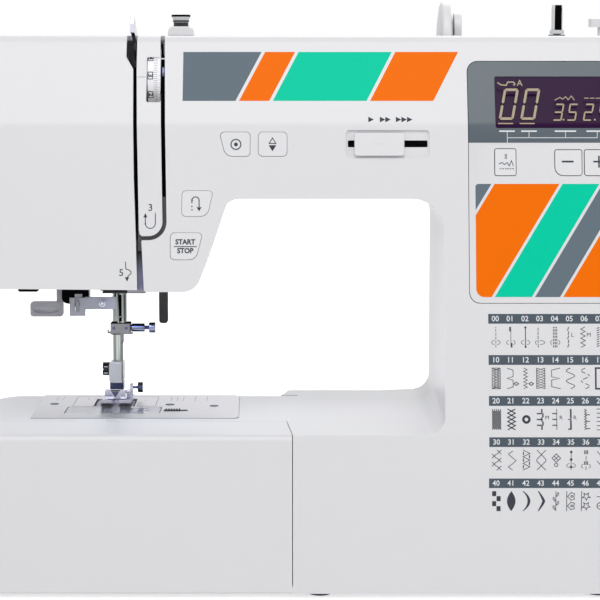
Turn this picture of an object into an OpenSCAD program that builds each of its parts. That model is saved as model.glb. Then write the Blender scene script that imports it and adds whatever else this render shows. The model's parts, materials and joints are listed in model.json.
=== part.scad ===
/* [Overall] */
// Width from the free end of the head to the handwheel
machine_w = 402; // [400:1:404]
// Depth from the base front to the folded carrying handle
machine_d = 176; // [175:1:178]
// Height of the bed surface above the table it stands on
bed_z = 82; // [81.5:0.5:82.5]
// Height of the casing top
top_z = 278; // [277:0.5:280]
// Height of the underside of the head
head_z = 153; // [152:0.5:154]
// Height of the underside of the arm
arm_z = 197; // [196:0.5:198]
// Height of the crease along the arm front
crease_z = 234; // [233:0.5:235]
// Thickness of the moulded casing walls
wall = 2.5; // [2.2:0.1:2.8]
// Gap between neighbouring covers
seam = 0.4; // [0.3:0.1:0.5]

/* [Needle and presser] */
// Length of the needle bar stroke
needle_stroke = 29.5; // [28:0.5:29.5]
// Diameter of the needle bar
needle_bar_d = 5.5; // [5:0.1:5.5]
// Diameter of the presser bar
presser_bar_d = 5.7; // [5.5:0.1:6]
// Height that the presser foot lifts
foot_lift = 5.5; // [4:0.5:5.5]
// Thickness of the presser foot sole
sole_t = 1.9; // [1.6:0.1:1.9]

/* [Drive] */
// Diameter of the upper shaft
upper_shaft_d = 10; // [9:0.5:10]
// Diameter of the lower shaft
lower_shaft_d = 8; // [7:0.5:8]
// Radius of the large motor-drive pulley
drive_pulley_r = 30; // [28:1:31]
// Radius of the motor pulley
motor_pulley_r = 6; // [5.5:0.5:6.5]
// Diameter of the handwheel
handwheel_d = 64; // [60:1:66]

/* [Bobbin] */
// Diameter of the bobbin flanges
bobbin_d = 20.4; // [20:0.1:20.6]
// Height of the bobbin
bobbin_h = 10.6; // [10.2:0.1:10.8]
// Outer radius of the rotary hook
hook_r = 18.6; // [18:0.1:18.8]

/* [Panel] */
// Width of the control panel
panel_w = 97; // [90:1:98]
// Travel of the push buttons
button_travel = 1.2; // [1:0.1:1.4]
// Travel of the panel keys
key_travel = 0.6; // [0.4:0.1:0.8]

/* [Hidden] */
$fn = 48;

// places across the machine
left_x = -machine_w / 2;
case_right = 180;
table_x = -33;
pillar_x = 42.4;
slot_x = -112.2;
needle_x = -124.6;
needle_y = 9;
foot_x = -127.8;
presser_y = 22;
// places front to back
front = -machine_d / 2;
handle_back = machine_d / 2;
back = 62;
split_y = 25;
base_z = 2.6;
rim_z = bed_z - 3;
rim_y = front + 2.5;
crease_y = rim_y + 35.5;
upper_lean = 17 / 38;
// drive line
shaft_z = 236;
crank_r = needle_stroke / 2;
lower_y = 6.9;
lower_z = 48;
motor_y = -30;
motor_z = 118;
lever_y = 20;
lever_z = 264;
arm_back = 38;
arm_front = -44.5;
arm_low = 33;
arm_left = left_x + 6;
hook_x = -127.6;
hook_y = -11.5;
fit = 0.05;
gap = 0.35;
white = [0.9, 0.9, 0.91];
steel = [0.72, 0.73, 0.75];
black = [0.1, 0.1, 0.11];
grey = [0.43, 0.47, 0.51];

// ---- helpers -------------------------------------------------------------------------------
function unit(v) = v / norm(v);
function arc(c, r, a0, sweep, n) = [for (i = [0:n]) c + r * [cos(a0 + sweep * i / n), sin(a0 + sweep * i / n)]];
// corner p between neighbours a and b, turned with radius r
function corner(a, p, b, r, n) = r < 0.05 ? [p] :
  let (u = unit(a - p), v = unit(b - p), half = acos(u * v) / 2, c = p + unit(u + v) * r / sin(half),
       s = p + u * r / tan(half) - c, e = p + v * r / tan(half) - c,
       a0 = atan2(s[1], s[0]), turn = (atan2(e[1], e[0]) - a0 + 540) % 360 - 180)
  arc(c, r, a0, turn, n);
function xy(p) = [p[0], p[1]];
function at(pts, i) = pts[(i + len(pts)) % len(pts)];
function turns_left(a, p, b) = (p[0] - a[0]) * (b[1] - p[1]) - (p[1] - a[1]) * (b[0] - p[0]) > 0;
// outline of [x, y, radius] corners, listed anticlockwise
function rounded(pts, n = 6) = [for (i = [0:len(pts) - 1])
  each corner(xy(at(pts, i - 1)), xy(pts[i]), xy(at(pts, i + 1)), pts[i][2], n)];
// the same outline moved inwards by d
function inset(pts, d) = [for (i = [0:len(pts) - 1])
  let (a = xy(at(pts, i - 1)), p = xy(pts[i]), b = xy(at(pts, i + 1)), u = unit(p - a), v = unit(b - p),
       nu = [-u[1], u[0]], nv = [-v[1], v[0]], q = p + d * (nu + nv) / (1 + nu * nv),
       r = pts[i][2] == 0 ? 0 : turns_left(a, p, b) ? max(pts[i][2] - d, 0) : pts[i][2] + d)
  [q[0], q[1], r]];
function box_outline(x0, x1, z0, z1, r) = [[x0, z0, r], [x1, z0, r], [x1, z1, r], [x0, z1, r]];

// a flat outline in X and Z, pulled from y0 back to y1
module along_y(y0, y1) { translate([0, y1, 0]) rotate([90, 0, 0]) linear_extrude(y1 - y0) children(); }
// a flat outline in Y and Z, pulled from x0 to x1
module along_x(x0, x1) { translate([x0, 0, 0]) rotate([90, 0, 90]) linear_extrude(x1 - x0) children(); }
module block(x0, x1, y0, y1, z0, z1) { translate([x0, y0, z0]) cube([x1 - x0, y1 - y0, z1 - z0]); }
module rod_x(x0, x1, y, z, r) { translate([x0, y, z]) rotate([0, 90, 0]) cylinder(r = r, h = x1 - x0); }
module rod_z(x, y, z0, z1, r) { translate([x, y, z0]) cylinder(r = r, h = z1 - z0); }
module rod_y(x, z, y0, y1, r) { translate([x, y1, z]) rotate([90, 0, 0]) cylinder(r = r, h = y1 - y0); }
module ring_x(x0, x1, y, z, r, hole) { difference() { rod_x(x0, x1, y, z, r); rod_x(x0 - 1, x1 + 1, y, z, hole); } }
// a block whose four upright edges are rounded
module pad_z(x0, x1, y0, y1, z0, z1, r) {
  translate([0, 0, z0]) linear_extrude(z1 - z0) polygon(rounded(box_outline(x0, x1, y0, y1, r), 5));
}

// ---- casing --------------------------------------------------------------------------------
// leaning side view of the column, arm and head
side_view = [[front, base_z, 0], [back, base_z, 0], [back, top_z, 14],
  [crease_y + (top_z - crease_z) * upper_lean, top_z, 8], [crease_y, crease_z, 14], [rim_y, rim_z, 0]];
lobe_lean = 0.346;
lobe_low_x = -81.4;
lobe_z = head_z - 1.7;
lobe_top_x = lobe_low_x + (arm_z - head_z) * lobe_lean;
front_view = [[table_x, base_z, 0], [case_right, base_z, 0], [case_right, top_z, 8], [left_x, top_z, 10],
  [left_x, head_z, 8], [-109.8, head_z, 0], [-108.8, lobe_z, 0], [lobe_low_x, lobe_z, 9], [lobe_top_x, arm_z, 9], [pillar_x, arm_z, 16],
  [pillar_x, bed_z, 9], [table_x, bed_z, 0]];
table_slant = 3.1;
function open_below(pts) = [for (p = pts) p[1] < base_z + wall + 0.5 ? [p[0], base_z - 1] : p];

module casing_solid(d) {
  intersection() {
    along_y(front - 1, back + 1) polygon(open_below(rounded(inset(front_view, d), 6)));
    along_x(left_x - 1, case_right + 1) polygon(open_below(rounded(inset(side_view, d), 5)));
  }
}
module casing_shell() {
  difference() {
    intersection() {
      along_y(front - 1, back + 1) polygon(rounded(front_view, 6));
      along_x(left_x - 1, case_right + 1) polygon(rounded(side_view, 5));
    }
    casing_solid(wall);
  }
}
// a layer of the leaning front between two depths
module front_layer(d0, d1) {
  difference() {
    along_x(left_x, case_right) polygon(rounded(inset(side_view, d0), 5));
    along_x(left_x - 1, case_right + 1) polygon(rounded(inset(side_view, d1), 5));
  }
}
// right edge of the face cover, and the curved slot beside the threading strip
face_edge = [[slot_x - 1.7, top_z + 1], [slot_x - 1.7, 262], [-110.4, head_z - 2]];
strip_low = 178.7;
strip_arc = [-105.1, strip_low + 6.9];
module face_zone() {
  polygon(concat([[left_x - 1, head_z - 9], [-110.4, head_z - 9]], [for (i = [2:-1:0]) face_edge[i]],
    [[left_x - 1, top_z + 1]]));
}
module front_zone() {
  polygon(concat([for (i = [0, 1]) face_edge[i] + [seam + 1.4, 0]],
    [[-109.9, strip_low + 3], [-109.5, strip_low + 0.9], [-108.4, strip_low], [-108.4, strip_low - 2.1], [-107.2, lobe_z + 1.2],
     [-106, lobe_z - 0.1], [-106, lobe_z - 2], [table_x - 1, head_z - 9],
     [table_x - 1, 0], [case_right + 1, 0], [case_right + 1, top_z + 1]]));
}
module thread_slot() {
  polygon(concat([[-100.3, top_z + 1], [-98.2, strip_arc[1]]], arc(strip_arc, 6.9, 0, -90, 6),
    [[-109.6, strip_low], [-109.6, strip_low - 2.1]], arc(strip_arc, 9, -90, 90, 6), [[-98.3, top_z + 1]]));
}
module take_up_gap() {
  along_y(front, 9) polygon([[-117.5, top_z + 1], [-117.5, 267.3], [-113.8, 261], [slot_x + 0.6, 261], [slot_x + 0.6, top_z + 1]]);
}
module head_floor_gap() { block(-176, -98, -16, 46, head_z - 3, head_z + wall + 1); }
module top_gap() { block(-104, 172, -18, 52, top_z - wall - 1, top_z + 1); }
// openings of the side wall for the free arm and for the foot under it
module arm_gap() {
  block(table_x - 4, table_x + 2.6, arm_front - seam, arm_back + seam, arm_low - seam, bed_z + 1);
  block(table_x - 4, table_x + 2.9, arm_front + 2, arm_back + seam, base_z - 1, base_z + 7.5);
}

// outlines of what is set in the front, as corners [x, z, radius]
start_stop = [[-94.2, 167.1, 2.2], [-81.4, 167.1, 4.4], [-78, 180.3, 1.8], [-94.2, 180.3, 2.2]];
reverse = [[-88.5, 188.4, 2], [-75.8, 188.4, 4.4], [-72.9, 201, 1.8], [-88.5, 201, 2.2]];
lock_stitch = [[-66.8, 218, 4.4], [-54.5, 218, 1.8], [-54.5, 230, 2], [-70, 230, 2]];
needle_pos = box_outline(-50.4, -36, 218, 230, 2.2);
mode_k = box_outline(68.1, 78.5, 208.6, 221.6, 0.8);
minus_k = [[98.2, 208.6, 4], [111.5, 208.6, 1.2], [111.5, 221.1, 0.8], [98.2, 221.1, 0.8]];
plus_k = [[113, 208.6, 1.2], [126.3, 208.6, 4], [126.3, 221.1, 0.8], [113, 221.1, 0.8]];
slider_slot = box_outline(-5.5, 34.5, 222.4, 225.8, 0.5);
slider_well = box_outline(-6.5, 35.5, 217.2, 231, 2);
module face_of(b, d) { polygon(rounded(inset(b, -d), 4)); }

// cap that fills its hole in the sloping front, standing out by `proud`, with a stem behind
module front_button(b, d0, d1, proud) {
  intersection() {
    along_y(front - 2, 0) face_of(b, 0);
    translate([0, -proud, 0]) front_layer(d0, d1);
  }
  cx = (b[0][0] + b[2][0]) / 2;
  cz = (b[0][1] + b[2][1]) / 2;
  face_y = cz > crease_z ? crease_y + (cz - crease_z) * upper_lean
                         : rim_y + (cz - rim_z) / (crease_z - rim_z) * (crease_y - rim_y);
  rod_y(cx, cz, face_y + d1 - 0.6 - proud, face_y + d1 + 4, 2.2);
}

panel = box_outline(55, 55 + panel_w, 146, 265, 5.2);
window = box_outline(68.6, 138, 232, 257.5, 1);

module front_cover() {
  color(white) {
    difference() {
      union() {
        intersection() {
          casing_shell();
          along_y(front - 2, split_y - seam) front_zone();
        }
        // slanting side beside the extension table
        translate([0, 0, base_z]) linear_extrude(bed_z - base_z)
          polygon([[table_x + 0.5, front + 4], [table_x, front + 4], [table_x - table_slant, arm_front - 1], [table_x - table_slant, arm_front + 2], [table_x + 0.5, arm_front + 2]]);
        // floor of the threading groove
        intersection() {
          front_layer(8, 9.6);
          along_y(front, 0) polygon([[-107.6, strip_low + 20], [-94.4, strip_low + 20], [-94.4, top_z - 9], [-107.6, top_z - 9]]);
        }
        intersection() {
          front_layer(1, 9);
          along_y(front, 0) polygon([[-95.8, strip_low + 20], [-94.4, strip_low + 20], [-94.4, top_z - 9], [-97.6, top_z - 9]]);
        }
        intersection() {
          front_layer(1, 9);
          along_y(front, 0) polygon([[-100, strip_low + 20], [-98.6, strip_low + 20], [-99.5, top_z - 44], [-100.9, top_z - 44]]);
        }
      }
      along_y(front - 2, 0) {
        for (b = [start_stop, reverse, lock_stitch, needle_pos]) face_of(b, gap);
        face_of(slider_slot, 0);
        face_of(panel, gap);
      }
      intersection() {
        along_y(front - 2, 0) thread_slot();
        front_layer(-1, 3.5);
      }
      // window for the tension dial
      intersection() {
        along_y(front - 2, 0) polygon(rounded(box_outline(-107, -99.7, 244.7, 267.3, 1), 3));
        front_layer(-1, 3.5);
      }
      intersection() {
        along_y(front - 2, 0) face_of(slider_well, 0);
        front_layer(-1, 1.2);
      }
      // room for the dial and the tension discs, and the hole for the upper shaft
      rod_x(-107.4, -96.2, dial_y, dial_z, 15.9);
      rod_x(case_right - 4, case_right + 1, needle_y, shaft_z, 6);
      take_up_gap();
      head_floor_gap();
      top_gap();
      arm_gap();
    }
  }
}

module rear_cover() {
  color(white) {
    difference() {
      union() {
        intersection() {
          casing_shell();
          block(left_x - 1, case_right + 1, split_y, back + 1, base_z, top_z + 1);
        }
        // fillet between the arm's back and the side of the base
        translate([0, 0, base_z]) linear_extrude(bed_z - base_z)
          polygon([[table_x + 0.5, arm_back + seam], [table_x - 7, arm_back + seam], [table_x - 5.2, 44], [table_x - 4, 50], [table_x - 3.4, 55.5], [table_x + 0.5, 57.5]]);
        // lugs and pins for the carrying handle
        for (s = [-1, 1]) {
          along_x(s * 58 - 4, s * 58 + 4)
            polygon(rounded([[back - 1, 252, 0], [back + 6, 252, 2], [back + 14, 258, 5], [back + 14, 268, 5], [back - 1, 268, 0]], 4));
          rod_x(s * 66 - 5, s * 66 + 5, back + 8, 262, 3);
        }
      }
      top_gap();
      arm_gap();
      head_floor_gap();
      // openings for inlet, jack, switch and the drop-feed lever side
      block(case_right - 4, case_right + 1, 31.7, 52.3, 19.7, 40.3);
      block(case_right - 4, case_right + 1, 33.7, 50.3, 47.7, 74.3);
      rod_x(case_right - 4, case_right + 1, 42, 86, 6.3);
      // cooling slots low in the back
      for (i = [0:8]) block(70 + i * 10, 75 + i * 10, back - 4, back + 1, 30, 60);
    }
  }
}

module face_cover() {
  color(white)
  difference() {
    intersection() {
      casing_shell();
      along_y(front - 2, split_y - seam) face_zone();
    }
    take_up_gap();
    head_floor_gap();
  }
}

// spool tray sunk in the top
tray = [-30, 60, 5.9, 51.6];
tray_z = 252.5;
winder = [105.5, 9];
module top_cover() {
  color(white)
  difference() {
    union() {
      block(-103.6, 171.6, -17.6, 51.6, top_z - wall, top_z);
      block(tray[0], tray[1], tray[2], tray[3] - 0.4, tray_z, top_z - 1);
      // bobbin stopper on its post
      rod_z(129.8, 9, top_z - 1, 283, 3);
      pad_z(122.3, 134, 5, 13, 282.5, 286.8, 2);
    }
    block(tray[0] + 2, tray[1] - 2, tray[2] + 1.5, tray[3] - 1.5, tray_z + 2, top_z + 1);
    // slot in which the winder shifts
    pad_z(winder[0] - 5, winder[0] + 9, winder[1] - 5, winder[1] + 5, top_z - 4, top_z + 1, 4.9);
  }
}

module base_plate() {
  color([0.82, 0.82, 0.83]) {
    difference() {
      block(table_x + 3, case_right - 3, front + 3.4, back - 3, base_z, base_z + 3);
      for (i = [0:5]) block(70 + i * 12, 76 + i * 12, -30, 10, base_z - 1, base_z + 4);
    }
    // foot under the free arm
    block(-188, table_x + 3, arm_front + 3, arm_back, base_z, base_z + 7);
  }
}

feet = [[-19.5, -76], [121, -74], [-19.5, 48], [121, 48], [-178, -28], [-178, 24]];
module rubber_feet() {
  color(black) {
    for (f = feet) translate([f[0], f[1], 0]) cylinder(r1 = f[0] > 100 ? 7.5 : 6, r2 = f[0] > 100 ? 7.9 : 6.4, h = base_z);
  }
}

screw_spots = [[-19.5, -60], [160, -70], [-10, 30], [160, 46], [60, -20]];
module cover_screws() {
  color(steel) {
    for (s = screw_spots) rod_z(s[0], s[1], base_z - 1.4, base_z, 3);
    for (s = [[-190, 200], [-60, 214], [165, 120], [165, 262]]) difference() {
      rod_y(s[0], s[1], back, back + 1.4, 3);
      block(s[0] - 2, s[0] + 2, back + 0.8, back + 2, s[1] - 0.4, s[1] + 0.4);
    }
  }
}

// ---- bed -----------------------------------------------------------------------------------
plate_pts = [[-168.4, -37.3, 0.5], [-63.6, -37.3, 0.5], [-61.2, -34.5, 0.5], [-62.5, 33, 0.5], [-65, 36.2, 0.5], [-169.4, 36.2, 0.5]];
cover_pts = [-152.4, -103, -23.4, -2.6];
plate_t = 1.5;
plate_top = bed_z + 0.4;

module free_arm_cover() {
  color(white)
  difference() {
    intersection() {
      along_x(arm_left, table_x + 2.2) polygon(rounded([[arm_front, arm_low, 12], [arm_back, arm_low, 12], [arm_back, bed_z, 3], [arm_front, bed_z, 0]], 5));
      translate([0, 0, arm_low - 1]) linear_extrude(bed_z) polygon(rounded([[arm_left, arm_front, 6], [table_x + 9, arm_front, 0], [table_x + 9, arm_back, 0], [arm_left, arm_back, 22]], 6));
    }
    intersection() {
      along_x(arm_left + wall, table_x + 9) polygon(rounded([[arm_front + wall, arm_low + wall, 10], [arm_back - wall, arm_low + wall, 10], [arm_back - wall, bed_z - wall, 0], [arm_front + wall, bed_z - wall, 0]], 5));
      translate([0, 0, arm_low - 1]) linear_extrude(bed_z) polygon(rounded([[arm_left + wall, arm_front + wall, 4], [table_x + 9, arm_front + wall, 0], [table_x + 9, arm_back - wall, 0], [arm_left + wall, arm_back - wall, 20]], 6));
    }
    // seat of the needle plate, and the opening under it
    translate([0, 0, plate_top - plate_t]) linear_extrude(5) polygon(rounded(inset(plate_pts, -0.2), 2));
    block(-160, -68, -33, 32, bed_z - 6, bed_z + 1);
    // slot of the drop-feed lever in the back
    block(-104.6, -83.6, arm_back - wall - 1, arm_back + 1, 44.5, 51.5);
  }
}

slot_half = 4.6;
module needle_plate() {
  color(steel)
  difference() {
    translate([0, 0, plate_top - plate_t]) linear_extrude(plate_t) polygon(rounded(plate_pts, 2));
    // opening of the hook cover, with its latch bay on the right
    pad_z(cover_pts[0] - gap, cover_pts[1] + gap, cover_pts[2] - gap, cover_pts[3] + gap, bed_z - 5, bed_z + 2, 2);
    block(-101.2, -88.6, -16.4, -11.6, bed_z - 5, bed_z + 2);
    // needle slot
    pad_z(foot_x - slot_half, foot_x + slot_half, needle_y - 1.1, needle_y + 1.1, bed_z - 5, bed_z + 2, 1);
    // feed dog slots
    for (t = feed_teeth) block(t[0] - 0.9, t[1] + 0.9, t[2] - 3.4, t[3] + 3.4, bed_z - 5, bed_z + 2);
    for (p = [[-160.9, 6.8], [-99, 4.6], [-75.3, 0.4]]) rod_z(p[0], p[1], plate_top - 0.6, plate_top + 1, 2.6);
  }
}

module hook_cover_plate() {
  color([0.8, 0.85, 0.9, 0.5]) {
    pad_z(cover_pts[0], cover_pts[1], cover_pts[2], cover_pts[3], plate_top - plate_t, plate_top - 0.1, 1.8);
  }
}

module hook_cover_latch() {
  color(black) {
    block(-100.8, -92.4, -16, -12, plate_top - plate_t, plate_top + 0.3);
    for (i = [0:5]) block(-100.2 + i * 1.4, -99.5 + i * 1.4, -15.6, -12.4, plate_top + 0.2, plate_top + 0.8);
  }
}

// feed dog rows: [left, right, front, back]
feed_teeth = [[-138.5, -136, 2.6, 20], [-121, -118.5, 2.6, 20], [-133, -123, 16.5, 20]];
feed_top = plate_top - 0.2;
module feed_dog() {
  color(steel) {
    block(-142.6, -114.4, 12.4, 20, feed_top - 6, feed_top - 3);
    for (t = feed_teeth) {
      block(t[0], t[1], t[2] + 1, t[3] - 1, feed_top - 3.2, feed_top - 0.8);
      for (y = [t[2] + 1:1.2:t[3] - 2.2]) along_x(t[0], t[1]) polygon([[y, feed_top - 1], [y + 1.2, feed_top - 1], [y + 1.2, feed_top]]);
    }
  }
}
feed_low = feed_top - 11.2;
module feed_bar() {
  color(steel)
  difference() {
    union() {
      block(-143, -114, 26, 29.6, feed_low - 9, feed_low + 6);
      block(-143, -139.6, 8.6, 29.6, feed_low + 2, feed_low + 4.8);
      block(-117.4, -114, 8.6, 29.6, feed_low + 2, feed_low + 4.8);
    }
    block(-131, -125, 25, 31, feed_low - 6, feed_low - 1);
  }
}
module drop_feed_lever() {
  color(black) {
    block(-102, -98, 35.3, arm_back + 3, 45.2, 50.8);
    pad_z(-104, -96, arm_back + 0.6, arm_back + 4.6, 44.8, 51.2, 1);
  }
}

// ---- hook and bobbin -------------------------------------------------------------------------
cup_low = 60.4;
module at_hook() { translate([hook_x, hook_y, 0]) children(); }
module rotary_hook() {
  color(steel) {
    at_hook() difference() {
      rotate_extrude() polygon([[0, 40], [3, 40], [3, 43.2], [5.8, 43.2], [5.8, 52.8], [4, 52.8], [4, cup_low],
        [hook_r - 3, cup_low], [hook_r, cup_low + 3], [hook_r, cup_low + 13], [hook_r - 1.6, cup_low + 13],
        [hook_r - 1.6, cup_low + 2.2], [0, cup_low + 2.2]]);
      for (a = [0:30:330]) rotate([0, 0, a]) translate([6.2, 0, 43]) cylinder(r = 1, h = 10);
      rotate([0, 0, 200]) block(hook_r - 3, hook_r + 1, -4, 4, cup_low + 8, cup_low + 14);
    }
  }
}
holder_r = hook_r - 2.1;
module bobbin_holder() {
  color([0.15, 0.15, 0.17]) {
    at_hook() translate([0, 0, cup_low]) rotate_extrude() polygon([[0, 2.8], [holder_r - 1.2, 2.8], [holder_r, 4],
      [holder_r, 15.2], [bobbin_d / 2 + 0.5, 15.2], [bobbin_d / 2 + 0.5, 4.1], [0, 4.1]]);
  }
}
module bobbin() {
  color([0.75, 0.82, 0.9, 0.6]) {
    at_hook() translate([0, 0, cup_low + 4.4]) rotate_extrude() polygon([[3, 0], [bobbin_d / 2, 0], [bobbin_d / 2, 0.9],
      [4.2, 0.9], [4.2, bobbin_h - 0.9], [bobbin_d / 2, bobbin_h - 0.9], [bobbin_d / 2, bobbin_h], [3, bobbin_h]]);
  }
}

// ---- frame ---------------------------------------------------------------------------------
frame_y = 31;
frame_t = 4;
rod_len = 30;
lug_low = [158, 166];
lug_high = [176, 184];
bar_x1 = needle_x + needle_bar_d / 2;
link_x = [-121.4, -118.6];
crank_x = [-118.2, -116.4];
lever_x = [-116, -114];

module frame_lug(x0, x1, y, z, half, hole) {
  difference() {
    block(x0, x1, y - half, frame_y + 1, z - half, z + half);
    rod_x(x0 - 1, x1 + 1, y, z, hole);
  }
}
module machine_frame() {
  color([0.6, 0.61, 0.62]) {
    // C-shaped casting behind the shafts
    along_y(frame_y, frame_y + frame_t) polygon([[-150, 154], [-122, 154], [-122, 170], [-115.8, 170], [-115.8, 154],
      [-100, 154], [-100, 204], [54, 204], [54, 70], [-160, 70], [-160, 46], [-26, 46], [-26, base_z + 3], [124, base_z + 3],
      [124, 255], [64, 255], [64, 251], [-34, 251], [-34, 255], [-150, 255]]);
    // feet of the casting
    block(60, 118, -6, frame_y + 1, base_z + 3, 11);
    block(-24, 20, 8, frame_y + 1, base_z + 3, 11);
    // upper shaft bearings
    for (x = [-104, 108]) frame_lug(x, x + 10, needle_y, shaft_z, 9, upper_shaft_d / 2 + fit);
    // lower shaft bearings
    for (x = [-112, 96]) frame_lug(x, x + 9, lower_y, lower_z, 8, lower_shaft_d / 2 + fit);
    // guides of the needle bar and the presser bar
    for (z = [lug_low, lug_high]) difference() {
      block(-133, link_x[0] + 2, 2, frame_y + 1, z[0], z[1]);
      rod_z(needle_x, needle_y, z[0] - 1, z[1] + 1, needle_bar_d / 2 + fit);
      rod_z(foot_x, presser_y, z[0] - 1, z[1] + 1, presser_bar_d / 2 + fit);
    }
    // stop above the presser spring
    difference() {
      block(-133, -123, 16, frame_y + 1, 218, 222);
      rod_z(foot_x, presser_y, 217, 223, presser_bar_d / 2 + fit);
    }
    // pivot of the take-up lever
    block(-111.6, -104, 14, frame_y + 1, 251, 270);
    rod_x(-116.2, -111, lever_y, lever_z, 3);
    // pivot of the presser lifter
    difference() {
      block(-115.8, -109, 29.5, 38.5, 145, 156);
      rod_x(-117, -108, 34, 150, 3 + fit);
    }
    // bush of the rotary hook
    difference() {
      union() {
        rod_z(hook_x, hook_y, 38, 42.4, 6);
        block(-150, hook_x, hook_y - 4, hook_y + 4, 38, 42);
        block(-150, -142, hook_y, frame_y + 1, 38, 42);
        block(-150, -142, 27, frame_y + 1, 38, 50);
      }
      rod_z(hook_x, hook_y, 39.6, 50, 3 + fit);
    }
  }
}

module drive_motor() {
  color([0.3, 0.31, 0.33]) {
    rod_x(66, 120, motor_y, motor_z, 18);
    rod_x(120, 123, motor_y, motor_z, 7);
    difference() {
      block(112, 114.4, motor_y, frame_y, motor_z - 14, motor_z + 14);
      rod_x(100, 120, motor_y, motor_z, 17);
    }
  }
}
module motor_pulley() {
  color(steel) {
    rod_x(123.4, 160, motor_y, motor_z, 2.5);
    rod_x(147, 149, motor_y, motor_z, motor_pulley_r + 2.4);
    rod_x(149, 155, motor_y, motor_z, motor_pulley_r);
    rod_x(155, 157, motor_y, motor_z, motor_pulley_r + 2.4);
  }
}

// line drawn round two pulleys
function belt_line(a, ra, b, rb) =
  let (v = b - a, th = atan2(v[1], v[0]), open = acos((ra - rb) / norm(v)))
  concat(arc(a, ra, th + open, 360 - 2 * open, 24), arc(b, rb, th - open, 2 * open, 12));
// loop of belt between two pulleys whose axes run along X
module belt(x0, x1, a, ra, b, rb, t) {
  difference() {
    along_x(x0, x1) polygon(belt_line(a, ra + t, b, rb + t));
    along_x(x0 - 1, x1 + 1) polygon(belt_line(a, ra, b, rb));
  }
}
module drive_belts() {
  color(black) {
    belt(149.5, 154.5, [needle_y, shaft_z], drive_pulley_r + gap, [motor_y, motor_z], motor_pulley_r + gap, 1.6);
    belt(129.5, 137.5, [needle_y, shaft_z], 13 + gap, [lower_y, lower_z], 13 + gap, 1.6);
  }
}

// upper shaft with crank, counterweight and both pulleys
module upper_shaft() {
  color(steel) {
    rod_x(crank_x[0], 186, needle_y, shaft_z, upper_shaft_d / 2);
    along_x(crank_x[0], crank_x[1]) translate([needle_y, shaft_z]) {
      polygon(concat(arc([0, 0], 13.5, 180, 180, 18), arc([0, crank_r], 4.6, 0, 180, 10)));
    }
    rod_x(link_x[0] + 0.1, crank_x[0] + 0.5, needle_y, shaft_z + crank_r, 3);
    rod_x(127.5, 129, needle_y, shaft_z, 15);
    rod_x(129, 138, needle_y, shaft_z, 13);
    rod_x(138, 139.5, needle_y, shaft_z, 15);
    rod_x(147, 149, needle_y, shaft_z, drive_pulley_r + 2);
    rod_x(149, 155, needle_y, shaft_z, drive_pulley_r);
    rod_x(155, 157, needle_y, shaft_z, drive_pulley_r + 2);
  }
}
module connecting_rod() {
  color(steel)
  difference() {
    along_x(link_x[0], link_x[1]) translate([needle_y, shaft_z + crank_r])
      polygon(concat(arc([0, 0], 5.4, -40, 260, 16), arc([0, -rod_len], 4.4, 150, 240, 14)));
    rod_x(link_x[0] - 1, link_x[1] + 1, needle_y, shaft_z + crank_r, 3 + fit);
    rod_x(link_x[0] - 1, link_x[1] + 1, needle_y, shaft_z + crank_r - rod_len, 2.2);
  }
}
gear_r = 11.8;
module lower_shaft() {
  color(steel) {
    rod_x(-136, 142, lower_y, lower_z, lower_shaft_d / 2);
    rod_x(127.5, 129, lower_y, lower_z, 15);
    rod_x(129, 138, lower_y, lower_z, 13);
    rod_x(138, 139.5, lower_y, lower_z, 15);
    along_x(hook_x - 5, hook_x + 5) translate([lower_y, lower_z])
      polygon([for (i = [0:95]) let (r = i % 4 < 2 ? gear_r : gear_r - 1.4) r * [cos(i * 3.75), sin(i * 3.75)]]);
  }
}
module handwheel() {
  color(white) {
    difference() {
      translate([0, needle_y, shaft_z]) rotate([0, 90, 0]) rotate_extrude($fn = 72) {
        polygon(concat([[upper_shaft_d / 2, 181.4], [handwheel_d / 2 - 3, 181.4], [handwheel_d / 2, 184]],
          [[handwheel_d / 2, -left_x - 4]], arc([handwheel_d / 2 - 4, -left_x - 4], 4, 0, 90, 6),
          [[handwheel_d / 2 - 12, -left_x], [handwheel_d / 2 - 14, -left_x - 3], [0, -left_x - 3], [0, 186], [upper_shaft_d / 2, 186]]));
      }
      for (i = [0:35]) translate([0, needle_y, shaft_z]) rotate([i * 10, 0, 0]) rod_x(184.5, 196, 0, handwheel_d / 2 + 0.7, 1.2, $fn = 16);
    }
  }
}

// ---- needle side ---------------------------------------------------------------------------
clamp_z = [120.3, 126];
module needle_bar() {
  color(steel) {
    rod_z(needle_x, needle_y, clamp_z[1], 229, needle_bar_d / 2);
    difference() {
      block(-130, bar_x1 + 0.1, 4.4, 14, 217, 226);
      rod_z(needle_x, needle_y, 216, 227, needle_bar_d / 2);
    }
  }
}
module needle_clamp() {
  color(steel) {
    difference() {
      union() {
        pad_z(-130.4, -119.6, 4, 14, clamp_z[0], clamp_z[1], 1.2);
        // thread hooks
        block(-132, -130.2, 5, 6, 120.6, 121.6);
        block(-132, -131.2, 5, 6, 120.6, 122.6);
        block(-120, -118.4, 4.4, 5.4, clamp_z[0], clamp_z[0] + 1);
      }
      rod_z(needle_x, needle_y, clamp_z[0] - 1, clamp_z[1] + 1, 1.05);
      rod_x(-124, -119, needle_y, 123.3, 1.55);
    }
  }
}
module needle_clamp_screw() {
  color(steel) {
    rod_x(-123.2, -119.1, needle_y, 123.3, 1.5);
    rod_x(-119.2, -112.4, needle_y, 123.3, 2.25);
    rod_x(-112.5, -110, needle_y, 123.3, 1.1);
    difference() {
      rod_x(-110, -106.7, needle_y, 123.3, 2.8);
      block(-107.5, -106, needle_y - 0.4, needle_y + 0.4, 119, 128);
    }
  }
}
module needle() {
  color(steel) {
    translate([needle_x, needle_y, 0]) rotate_extrude($fn = 24)
      polygon([[0, 92.6], [0.3, 94], [0.45, 96], [0.45, 114.5], [1, 116], [1, 125.6], [0, 125.6]]);
  }
}
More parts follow.
